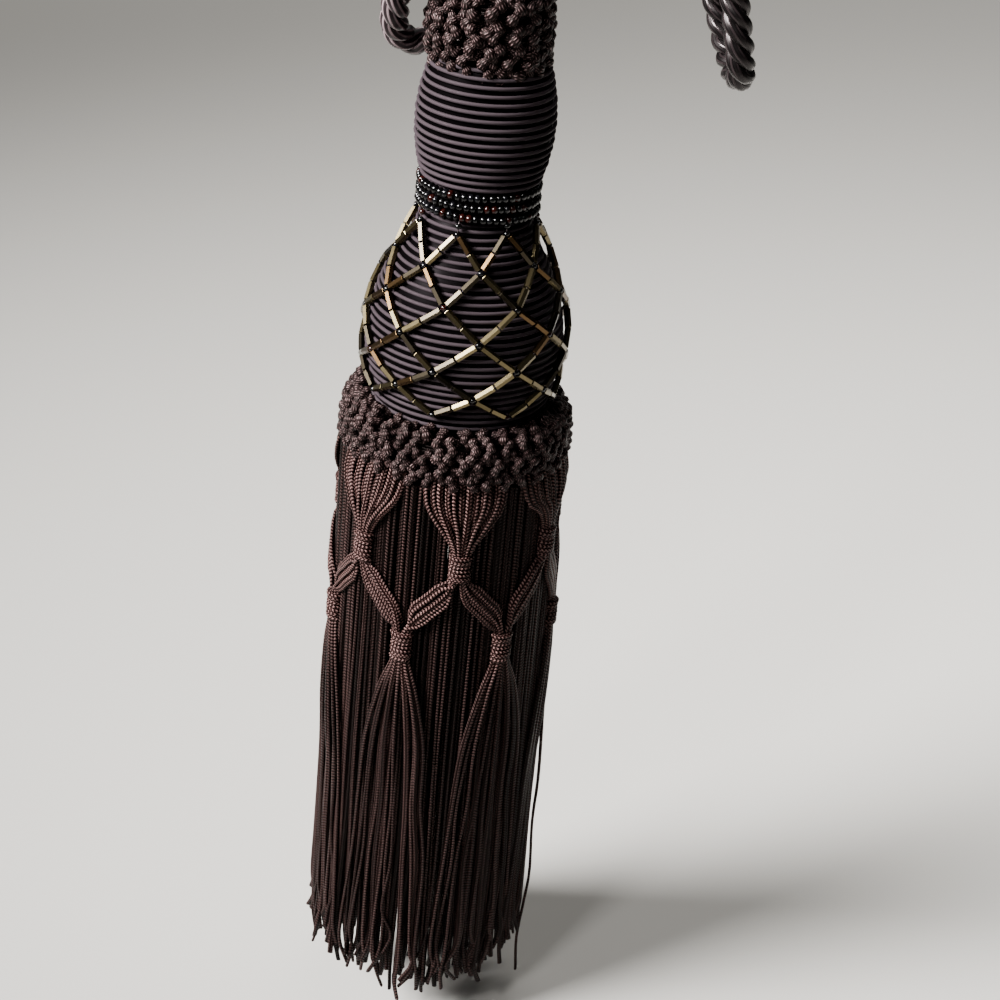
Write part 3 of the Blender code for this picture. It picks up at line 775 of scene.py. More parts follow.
# ---- the hanging cord ------------------------------------------------------------
# the cord's route from its left end, over the hook, round the hanging loop,
# back over the hook and down to its end behind the head: (x, y, height)
CORD_ROUTE = (
    (-11.5, 7.2, 236.6),
    (-14.8, 8.7, 235.9),
    (-18.1, 8.0, 236.5),
    (-20.1, 5.0, 239.6),
    (-20.2, 1.4, 243.9),
    (-19.7, -1.4, 249.5),
    (-18.6, -3.1, 258.0),
    (-16.4, -4.0, 271.0),
    (-12.6, -4.0, 287.0),
    (-9.2, -4.0, 303.2),
    (-3.0, -4.0, 314.0),
    (4.8, -4.0, 319.2),
    (14.0, -4.0, 321.0),
    (23.2, -4.0, 319.2),
    (31.0, -4.0, 314.0),
    (37.2, -4.2, 303.2),
    (42.6, -6.2, 285.0),
    (47.3, -8.2, 267.0),
    (50.9, -9.2, 254.0),
    (52.7, -9.0, 246.8),
    (54.1, -7.2, 240.8),
    (54.8, -2.6, 237.5),
    (54.0, 2.6, 237.4),
    (52.6, 7.2, 240.5),
    (50.6, 9.4, 246.0),
    (47.9, 9.6, 253.5),
    (44.6, 8.4, 266.5),
    (41.4, 6.2, 285.0),
    (37.2, 4.2, 303.2),
    (31.0, 4.0, 314.0),
    (23.2, 4.0, 319.2),
    (14.0, 4.0, 321.0),
    (4.8, 4.0, 319.2),
    (-3.0, 4.0, 314.0),
    (-9.2, 4.2, 303.2),
    (-12.0, 6.6, 287.0),
    (-10.6, 11.4, 272.0),
    (-6.6, 16.6, 260.0),
    (-1.8, 20.4, 249.6),
    (0.8, 20.4, 243.6),
    (1.9, 18.2, 241.3),
    (2.1, 15.4, 240.9),
)


@dataclass
class HangingCord:
    """Three-strand cord that leaves the top ruff, passes over a hook twice and comes back to the head."""

    diameter: float = 6.2
    lay: float = 13.0
    steps_per_lay: int = 32
    strand_radius: float = 1.50
    strand_offset: float = 1.66
    yarns_in_strand: float = 7.0
    yarn_relief: float = 0.03
    face_turn: float = 170.0                # radians a metre that a strand turns on itself
    lustre_span: tuple = (-34.0, 36.0)      # X in mm between which the cord's shade fades
    lustre: tuple = (3.2, -1.2)             # its shade at these two places
    root_start: tuple = (-7.6, 5.4, 238.0)
    root_end: tuple = (2.0, 11.4, 241.6)

    def route(self) -> np.ndarray:
        """The cord's centre line in metres, with its two ends sunk in the head."""
        points = np.array([self.root_start, *CORD_ROUTE, self.root_end])
        points = points + (TASSEL_BESIDE_HOOK, 0.0, -HOOK_HEIGHT)
        return smooth_path(points, self.lay / self.steps_per_lay) * MM

    def build(self, finish: YarnFinish) -> bpy.types.Object:
        """Args:
            finish: The rope's finish.

        Returns:
            The piece.
        """
        route = self.route()
        yarn = Yarn(plies=3, lay=-self.lay, offset=self.strand_offset, ply_radius=self.strand_radius,
                    sides=24, lobes=self.yarns_in_strand, lobe_depth=self.yarn_relief,
                    face_turn=self.face_turn)
        lustre = np.interp(route[:, 0] / MM, self.lustre_span, self.lustre)
        piece = yarn.spin("twisted_cord", [Line(route, shade=lustre)], finish.material)
        hand_over(piece, Slot.ROPE, "hanging_cord")
        return piece


# ---- ruffs -----------------------------------------------------------------------
OUTLINE_STEP = 0.25             # mm between two rows of a ruff's smooth outline
LOOP_END = 1.25                 # a loop's own measure at its two ends, 0 at its middle
LOOP_POINTS = 13
LOOP_BEND = 2.6                 # the larger, the flatter a loop's arch
LOOP_SQUARENESS = 1.3           # the larger, the longer a loop stays at its full height


@dataclass
class Ruff:
    """Ruff of bullion loops round the head, in staggered tiers over a yarn core."""

    name: str
    node: str
    seed: int
    tiers: int
    loops: int                  # in a tier at the ruff's widest
    tier_foot: float            # mm along the outline from its foot to the lowest tier's middle
    tier_rise: float            # mm along the outline between two tiers
    loop_length: float = 7.6
    loop_depth: float = 2.6
    core_depth: float = 3.3
    core_ridge: float = 0.35
    foot_lift: float = 0.4      # the core's foot over the outline's
    stray_deg: float = 1.2
    stagger: float = 0.35       # of the spacing between loops, from tier to tier
    lean_mm: float = 0.7
    side_shift: float = 0.0     # mm towards +X
    crown: tuple = ()           # rows of (radius, height) that replace the outline's top
    strays: tuple = ()          # loops out of order: (azimuth, mm along the outline, roll in degrees)
    yarn: Yarn = Yarn(lay=3.9, offset=0.50, depth=0.25, crossings=2.0, swell=0.24, ply_radius=1.00,
                      sides=10)
    step: float = 0.36          # mm between two rings of a loop's mesh
    lengths: tuple = (0.88, 1.1)            # least and most, times the loop's length
    bow_share: float = 0.6                  # of its lean that a loop may bow sideways
    prouds: tuple = (-0.35, 0.25)           # least and most in mm that a loop stands out
    girths: tuple = (0.93, 1.06)

    def surface(self) -> np.ndarray:
        """The ruff's outline from its foot to the crown, evenly spaced: (radius, height)."""
        rows = HEAD.outline(self.node)
        rows = rows[rows[:, 1] < self.crown[0][1]]
        return smooth_path(np.vstack([rows, self.crown]), OUTLINE_STEP)

    def loop(self, surface: np.ndarray, middle: float, azimuth: float, rng: random.Random,
             roll_deg: float = 0.0) -> Line:
        """Centre line of one loop.

        Args:
            surface: The ruff's outline.
            middle: Where along it the loop's middle is, in mm.
            azimuth: Where round the head it is.
            rng: Source of the small differences from loop to loop.
            roll_deg: How far the loop lies over on its side.

        Returns:
            The loop's line.
        """
        roll = math.radians(roll_deg)
        half = self.loop_length / 2 * rng.uniform(*self.lengths)
        width = self.yarn.depth + self.yarn.ply_radius
        lean = rng.uniform(-1, 1) * self.lean_mm
        bow = rng.uniform(-1, 1) * self.lean_mm * self.bow_share
        proud = rng.uniform(*self.prouds)
        turn = np.linspace(-LOOP_END, LOOP_END, LOOP_POINTS)
        bend = turn * math.pi / LOOP_BEND
        along = middle + half * np.sin(bend) * math.cos(roll)
        depth = self.loop_depth * (1 - np.cos(bend)) ** LOOP_SQUARENESS + width - proud

        # on the outline, or beyond its end in a straight line, then inwards from it
        rows = np.arange(len(surface))
        station = np.interp(along / OUTLINE_STEP, rows, rows)
        index = np.clip(station.astype(int), 1, len(surface) - 2)
        tangent = surface[index + 1] - surface[index - 1]
        tangent /= np.linalg.norm(tangent, axis=1)[:, None]
        beyond = (along / OUTLINE_STEP - station) * OUTLINE_STEP
        place = np.stack([np.interp(station, rows, surface[:, k]) for k in (0, 1)], axis=1)
        place = place + tangent * beyond[:, None]
        place = place - np.stack([tangent[:, 1], -tangent[:, 0]], axis=1) * depth[:, None]

        least_radius, least_lever = 0.5, 4.0        # mm, so that a loop near the axis stays whole
        radius = np.maximum(place[:, 0], least_radius)
        sideways = lean * turn / LOOP_END + bow * (1 - (turn / LOOP_END) ** 2)
        sideways = sideways + half * np.sin(bend) * math.sin(roll)
        places = HEAD.points(azimuth + np.degrees(sideways / np.maximum(radius, least_lever)), radius,
                             place[:, 1])
        places[:, 0] += self.side_shift * MM
        return Line(smooth_path(places, self.step * MM), phase=rng.uniform(0, math.tau), shade=rng.random(),
                    girth=rng.uniform(*self.girths))

    def loops_of(self) -> list:
        """Centre lines of every loop, tier by tier."""
        rng = random.Random(self.seed)
        surface = self.surface()
        widest = surface[:, 0].max()
        lines = []
        for tier in range(self.tiers):
            middle = self.tier_foot + self.tier_rise * tier
            radius = float(np.interp(middle / OUTLINE_STEP, np.arange(len(surface)), surface[:, 0]))
            count = max(3, round(self.loops * min(1.0, radius / widest * 1.04)))
            for k in range(count):
                azimuth = FULL_TURN * (k + self.stagger * (tier % 2)) / count
                azimuth += rng.uniform(-1, 1) * self.stray_deg
                lines.append(self.loop(surface, middle + rng.uniform(-0.5, 0.5), azimuth, rng))
        lines += [self.loop(surface, middle, azimuth, rng, roll) for azimuth, middle, roll in self.strays]
        return lines

    def core(self, material: bpy.types.Material) -> bpy.types.Object:
        """Yarn core behind the loops."""
        surface = self.surface()
        foot, crown = surface[0, 1] + self.foot_lift, surface[-1, 1] - self.core_depth
        inner = [(max(radius - self.core_depth + self.core_ridge * math.sin(k * 1.2), 0.6), height)
                 for k, (radius, height) in enumerate(surface) if foot < height < crown]
        rows = [(0.0, foot), *inner, (0.0, crown)]
        return lathe(self.name + "_core", rows, HEAD, steps=64, material=material)

    def build(self, finish: YarnFinish) -> bpy.types.Object:
        """Make the ruff.

        Args:
            finish: The bullion's finish.

        Returns:
            The piece.
        """
        material = finish.material
        loops = self.yarn.spin(self.name, self.loops_of(), material)
        piece = join(self.name, [loops, self.core(material)])
        return hand_over(piece, Slot.BULLION, self.node)


# ---- wound forms -------------------------------------------------------------------
@dataclass
class Winding:
    """Smooth round cord wound side by side over a turned form."""

    name: str
    node: str
    seed: int
    low: float                  # height of the lowest wrap
    high: float                 # and of the highest
    pitch: float = 1.78
    cord_radius: float = 0.44
    steps: int = 110            # points of the cord's line in a wrap
    waver: float = 0.09         # mm that the wraps wander up and down
    core_depth: float = 0.47
    proud: float = 0.0          # mm outside the CAD outline
    outline_step: float = 0.2
    drifts: tuple = ((1, 0.5), (2, 0.3), (3, 0.2))  # waves a turn, and their shares of the waver
    lags: tuple = (0.15, 0.45)  # least and most that is added to these waves a turn
    tension: float = 0.06       # mm that the cord sinks in and swells out along its length
    tension_rate: float = 0.37  # times a turn
    below: tuple = ()           # extra rows of (radius, height) under the node's own foot
    above: tuple = ()           # and over its top

    def build(self, finish: YarnFinish) -> bpy.types.Object:
        """Wind the form.

        Args:
            finish: The winding's finish.

        Returns:
            The piece.
        """
        rng = random.Random(self.seed)
        rows = HEAD.outline(self.node)
        rows = np.array([*self.below, *rows, *self.above])
        surface = smooth_path(rows, self.outline_step)
        walked = np.arange(len(surface)) * self.outline_step
        start = float(np.interp(self.low, surface[:, 1], walked))
        end = float(np.interp(self.high, surface[:, 1], walked))
        wraps = (end - start) / self.pitch
        turns = np.linspace(0.0, wraps, int(wraps * self.steps))
        along = start + turns * self.pitch
        for rate, share in self.drifts:
            drift = rng.uniform(0, math.tau)
            lag = rng.uniform(*self.lags)
            along = along + self.waver * share * np.sin(math.tau * turns * (rate + lag) + drift)
        radius = np.interp(along, walked, surface[:, 0]) - self.cord_radius + self.proud
        height = np.interp(along, walked, surface[:, 1])
        radius = radius + self.tension * np.sin(math.tau * turns * self.tension_rate
                                                + rng.uniform(0, math.tau))
        places = HEAD.points(turns * FULL_TURN + FULL_TURN / 2, radius, height)
        material = finish.material
        cord = Yarn(ply_radius=self.cord_radius, sides=8).spin(
            self.name, [Line(places, shade=0.5)], material)
        inside = surface[::8]
        core = [(0.0, inside[0, 1])] + [(r - self.core_depth, h) for r, h in inside] + [(0.0, inside[-1, 1])]
        inner = lathe(self.name + "_core", core, HEAD, steps=48, material=material)
        piece = join(self.name, [cord, inner])
        return hand_over(piece, Slot.WINDING, self.node)


# ---- beads -------------------------------------------------------------------------
ROUND_ARC = (14.0, 40.0, 62.0, 80.0)    # degrees up a round bead's side where its section has a point
SHARP_ROUND = 60.0              # degrees over which an edge is sharp, on a round bead
SHARP_CUT = 25.0                # and on a cut one


@dataclass(frozen=True)
class Bead:
    """One bead: a ring of glass, its sizes in millimetres, and its section."""

    radius: float
    length: float
    bore: float
    rounding: float             # 1 is fully round, near 0 is a cut tube
    sides: int = 8

    @property
    def is_round(self) -> bool:
        """Whether it is a round bead, not a cut tube."""
        return self.rounding > 0.5

    def shape(self) -> bpy.types.Object:
        """The bead's mesh, its bore along Z, at its real size.

        Returns:
            An object that isn't in the scene.
        """
        half, soft = self.length / 2, self.rounding * min(self.length / 2, self.radius - self.bore)
        if self.is_round:
            bulge = min(half * 1.05, self.radius - self.bore * 0.5)
            arc = [math.radians(turn) for turn in ROUND_ARC]
            upper = [(self.radius + bulge * (math.cos(turn) - 1.0), half * math.sin(turn)) for turn in arc]
            upper.append((self.bore, half * 0.75))
        else:
            upper = [(self.radius, half - soft), (self.radius - soft * 0.6, half - soft * 0.15),
                     (self.bore + soft * 0.6, half), (self.bore, half - soft * 0.5)]
        section = [(radius, -height) for radius, height in reversed(upper)] + upper
        work = bmesh.new()
        rings = []
        for k in range(self.sides):
            turn = math.tau * (k + 0.5) / self.sides
            rings.append([work.verts.new((r * math.cos(turn) * MM, r * math.sin(turn) * MM, z * MM))
                          for r, z in section])
        for k, ring in enumerate(rings):
            after = rings[(k + 1) % self.sides]
            for i in range(len(section)):
                j = (i + 1) % len(section)
                work.faces.new((ring[i], after[i], after[j], ring[j]))
        bmesh.ops.remove_doubles(work, verts=work.verts, dist=1e-7)
        bmesh.ops.recalc_face_normals(work, faces=work.faces)
        mesh = bpy.data.meshes.new("bead")
        work.to_mesh(mesh)
        work.free()
        mesh.shade_smooth()
        mesh.set_sharp_from_angle(angle=math.radians(SHARP_ROUND if self.is_round else SHARP_CUT))
        return bpy.data.objects.new("bead", mesh)


def thread_beads(name: str, bead: Bead, places: np.ndarray, aims: np.ndarray, shades: Sequence[float],
                 spans: np.ndarray, material: bpy.types.Material,
                 faces: Optional[np.ndarray] = None) -> bpy.types.Object:
    """Thread one bead on each place.

    Args:
        name: The piece's name.
        bead: The bead.
        places: Its places in metres.
        aims: The thread's direction at each.
        shades: A number from 0 to 1 for each bead's shade.
        spans: Scale of each bead across, across and along.
        material: The beads' material.
        faces: Where each bead's first facet looks, if it matters.

    Returns:
        The piece.
    """
    mesh = bpy.data.meshes.new(name + "_places")
    mesh.from_pydata(places.tolist(), [], [])
    faces = np.tile((0.3, 0.5, 0.8), (len(places), 1)) if faces is None else faces
    for label, values in (("aim", aims), ("span", spans), ("face", faces), ("shade", shades)):
        mark(mesh, label, values)
    source = linked(name + "_places", mesh)
    shape = bead.shape()
    piece = evaluated(source, name, bead_tree(), {"Bead": shape, "Material": material})
    bpy.data.objects.remove(shape, do_unlink=True)
    return piece


def stray(rng: random.Random, most: float) -> np.ndarray:
    """Small random vector, each part within the given size."""
    return np.array([rng.uniform(-most, most) for _ in range(3)])


@dataclass
class Collar:
    """Three rows of seed beads strung round the neck."""

    row_heights: tuple = (208.6, 206.15, 203.7)
    radius: float = 13.2
    bead: Bead = Bead(radius=1.04, length=1.42, bore=0.30, rounding=0.9, sides=10)
    pitch: float = 1.52
    row_turn: float = 3.1       # degrees from a row's first bead to the next row's
    sag: float = 0.18           # mm that a row rises and falls round the neck
    seed: int = 21

    def build(self, finish: GlassFinish) -> bpy.types.Object:
        """String the collar.

        Args:
            finish: The seed beads' finish.

        Returns:
            The piece.
        """
        rng = random.Random(self.seed)
        places, aims, shades, spans = [], [], [], []
        for row, height in enumerate(self.row_heights):
            count = round(math.tau * self.radius / self.pitch)
            for k in range(count):
                azimuth = FULL_TURN * (k + rng.uniform(-0.08, 0.08)) / count + self.row_turn * row
                sag = self.sag * math.sin(math.radians(azimuth * 2 + 70 * row))
                here, ahead = HEAD.points([azimuth, azimuth + 1.0], self.radius + rng.uniform(-0.08, 0.08),
                                          height + sag + rng.uniform(-0.07, 0.07))
                places.append(here)
                aims.append((ahead - here) / np.linalg.norm(ahead - here) + stray(rng, 0.12))
                shades.append(rng.random())
                size = rng.uniform(0.94, 1.05)
                spans.append((size, size, rng.uniform(0.85, 1.08)))
        piece = thread_beads("seed_bead_collar", self.bead, np.array(places), np.array(aims), shades,
                             np.array(spans), finish.material)
        return hand_over(piece, Slot.SEED_BEADS, "bead_collar")


@dataclass
class BeadNet:
    """Diamond net of bugle beads, two to a side, with a seed bead at each crossing."""

    columns: int = 8
    row_heights: tuple = (200.0, 192.2, 184.6, 177.4, 170.6, 164.9, 160.3)
    first_azimuth: float = -14.6
    stand_offs: tuple = (0.9, 0.95, 1.0, 1.0, 1.0, 0.95, 0.9)     # mm from the bell, row by row
    bows: tuple = (0.25, 0.35, 0.45, 0.55, 0.5, 0.4)  # mm outwards at the middle of a side, row by row
    gap: float = 0.85           # mm of thread from a crossing to the bugle
    seam: float = 0.15          # and from the bugle to the side's middle
    tilt: float = 0.85          # mm that the net's rows rise towards one side and fall towards the other
    tilt_start: float = 15.0    # degrees before the front where a row is neither higher nor lower
    lift: float = 0.75          # mm that every row is up
    row_tilts: tuple = (0.6, 1.0, 1.0, 1.0, 0.8, 0.2, 0.0)      # of the tilt and the lift, row by row
    bugle: Bead = Bead(radius=0.84, length=4.5, bore=0.4, rounding=0.2, sides=6)
    facet_aim: tuple = (-0.493, -0.727, 0.477)  # where bugles on that side turn a facet
    facet_pull: float = 14.0    # weight of that aim against straight outwards; elsewhere it is 0
    facet_reach: float = 0.40   # least cosine between the aim and outwards that counts as that side
    facet_scatter: float = 0.6  # most of the random part of a facet's direction, each way
    knot_bead: Bead = Bead(radius=0.80, length=1.2, bore=0.25, rounding=0.9, sides=10)
    net_cord: Yarn = Yarn(ply_radius=0.16, sides=4)
    hanger_drop: float = 3.2    # mm from the collar to the top crossings
    hanger_inset: float = 1.2   # mm that a hanger starts further in than it ends
    hanger_bow: float = 0.5     # mm that it bows outwards
    hanger_step: float = 0.6    # mm between two points of its line
    seed: int = 31

    def crossings(self) -> list:
        """Places of the net's crossings, row by row, in metres."""
        outline = HEAD.outline("wound_bell")
        rng = random.Random(self.seed)
        rows = []
        for row, height in enumerate(self.row_heights):
            radius = float(np.interp(height, outline[:, 1], outline[:, 0])) + self.stand_offs[row]
            start = self.first_azimuth + (row % 2) * FULL_TURN / 2 / self.columns
            turns = [start + FULL_TURN * k / self.columns + rng.uniform(-0.8, 0.8)
                     for k in range(self.columns)]
            rows.append(np.vstack([
                HEAD.points(turn, radius, height + rng.uniform(-0.35, 0.35) + self.row_tilts[row]
                            * (self.tilt * math.sin(math.radians(turn + self.tilt_start)) + self.lift))
                for turn in turns]))
        return rows

    def build(self, bugle_finish: GlassFinish, seed_finish: GlassFinish, thread: YarnFinish) -> list:
        """String the net.

        Args:
            bugle_finish: The bugles' finish.
            seed_finish: The seed beads' finish.
            thread: The thread's finish.

        Returns:
            The bugles, the crossing beads and the thread.
        """
        rng = random.Random(self.seed + 1)
        rows = self.crossings()
        places, aims, spans, shades, threads, faces = [], [], [], [], [], []
        facet = np.array(self.facet_aim)
        for row in range(len(rows) - 1):
            for k in range(self.columns):
                for other in (k, (k - 1 + 2 * (row % 2)) % self.columns):
                    start, end = rows[row][k], rows[row + 1][other]
                    middle = (start + end) / 2
                    middle = middle + self.outward(middle) * self.bows[row] * MM
                    for node in (start, end):
                        reach = float(np.linalg.norm(middle - node)) / MM
                        aim = (middle - node) / (reach * MM)
                        places.append(node + aim * (self.gap + reach - self.seam) / 2 * MM)
                        aims.append(aim)
                        spans.append((1.0, 1.0, (reach - self.gap - self.seam) / self.bugle.length))
                        shades.append(rng.random())
                        away = self.outward(middle)
                        pull = self.facet_pull if float(away @ facet) > self.facet_reach else 0.0
                        faces.append(away + pull * facet + stray(rng, self.facet_scatter))
                    threads.append(Line(np.vstack([start, middle, end])))
        bugles = thread_beads("bugle_net", self.bugle, np.array(places), np.array(aims), shades,
                              np.array(spans), bugle_finish.material, np.array(faces))
        hand_over(bugles, Slot.BUGLE_BEADS, "bead_net")
        hangers = self.hangers(rows[0])
        crossings = np.vstack(rows + [line.points[len(line.points) // 2] for line in hangers])
        up = np.array([np.array((0.0, 0.0, 1.0)) + stray(rng, 0.5) for _ in crossings])
        seeds = thread_beads("crossing_beads", self.knot_bead, crossings, up,
                             [rng.random() for _ in crossings], np.ones((len(crossings), 3)),
                             seed_finish.material)
        hand_over(seeds, Slot.SEED_BEADS)
        cord = self.net_cord.spin("net_thread", threads + hangers, thread.material)
        hand_over(cord, Slot.ROPE)
        return [bugles, seeds, cord]

    def outward(self, place: np.ndarray) -> np.ndarray:
        """Unit vector away from the tassel's axis."""
        away = np.array([place[0] - TASSEL_BESIDE_HOOK * MM, place[1], 0.0])
        return away / np.linalg.norm(away)

    def hangers(self, top: np.ndarray) -> list:
        """Threads from the collar down to the net's top row."""
        lines = []
        for place in top:
            away = self.outward(place)
            collar = place + np.array([0.0, 0.0, self.hanger_drop * MM]) - away * self.hanger_inset * MM
            middle = (collar + place) / 2 + away * self.hanger_bow * MM
            lines.append(Line(smooth_path([collar, middle, place], self.hanger_step * MM)))
        return lines


# ---- fringes -----------------------------------------------------------------------
STRAIGHT_STEP = 4.7             # mm between two rings of a straight strand's mesh
KNOTTED_STEP = 2.4              # and of a knotted one's
BRAID = Yarn(ply_radius=0.69, sides=8, lobes=2.0, lobe_depth=0.10, flatness=0.72, face_turn=9.0)


@dataclass
class StraightFringe:
    """Straight strands that hang in rings inside the knotted fringe."""

    rings: tuple = ((122, 26.1, 27.2), (100, 24.2, 25.5), (70, 21.8, 23.4), (46, 18.0, 20.0),
                    (34, 12.0, 14.0))       # strands, root radius, end radius
    top: float = 143.6
    end: float = -0.3
    side_trim: float = 2.4      # mm that the strands at the two sides are shorter
    scatter: float = 3.0        # mm, standard deviation of the strands' ends
    clumps: tuple = ((1.8, 11.0, 0.0), (1.4, 19.0, 40.0))   # size, number round and start, in degrees
    clump_shift: float = 23.0   # degrees that they move from ring to ring, for each mm of radius
    curled: float = 0.08        # share of a strand that is its curled tip
    sways: tuple = (0.3, 1.3)   # least and most in degrees that a strand sways
    sway_rate: float = 11.0     # radians down a strand
    bulge: float = 0.4          # mm that it swings in and out
    bulge_rate: float = 9.0     # radians down a strand
    points: int = 26            # that its line is drawn through
    shades: tuple = (-1.45, 0.1)
    girths: tuple = (0.80, 1.02)
    heading: tuple = ((0.0, 140.6), (20.4, 140.6), (20.4, 142.0), (0.0, 142.0))     # (radius, height)
    seed: int = 41

    def strand(self, azimuth: float, root: float, foot: float, rng: random.Random) -> Line:
        """Centre line of one strand."""
        turned = azimuth + self.clump_shift * foot
        trim = self.side_trim * abs(math.sin(math.radians(azimuth)))
        end = self.end + trim + rng.gauss(0.0, self.scatter)
        drift = rng.gauss(0.0, 1.5)
        clump = sum(size * math.sin(math.radians(turned * count + start))
                    for size, count, start in self.clumps)
        wave, sway = rng.uniform(0, math.tau), rng.uniform(*self.sways)
        share = np.linspace(0.0, 1.0, self.points)
        turn = (azimuth + (drift + clump) * share ** 3
                + sway * np.sin(share * self.sway_rate + wave) * share ** 1.5)
        radius = (root + (foot - root) * share
                  + self.bulge * np.sin(share * self.bulge_rate + wave * 2) * share)
        curl = np.clip((share - (1 - self.curled)) / self.curled, 0, 1) ** 2
        turn = turn + curl * rng.gauss(0.0, 2.6)
        radius = radius + curl * rng.uniform(-1.6, 1.2)
        height = self.top + (end - self.top) * share
        path = smooth_path(UPRIGHT.points(turn, radius, height), STRAIGHT_STEP * MM)
        return Line(path, phase=rng.uniform(0, math.tau), shade=rng.uniform(*self.shades),
                    girth=rng.uniform(*self.girths))

    def build(self, finish: YarnFinish) -> bpy.types.Object:
        """Hang the strands.

        Args:
            finish: The fringe's finish.

        Returns:
            The piece.
        """
        rng = random.Random(self.seed)
        lines = [self.strand(FULL_TURN * (k + rng.uniform(-0.2, 0.2)) / count, root, foot, rng)
                 for count, root, foot in self.rings for k in range(count)]
        material = finish.material
        strands = BRAID.spin("straight_strands", lines, material)
        heading = lathe("heading", self.heading, UPRIGHT, steps=64, material=material)
        return hand_over(join("straight_fringe", [strands, heading]), Slot.FRINGE, "under_fringe")


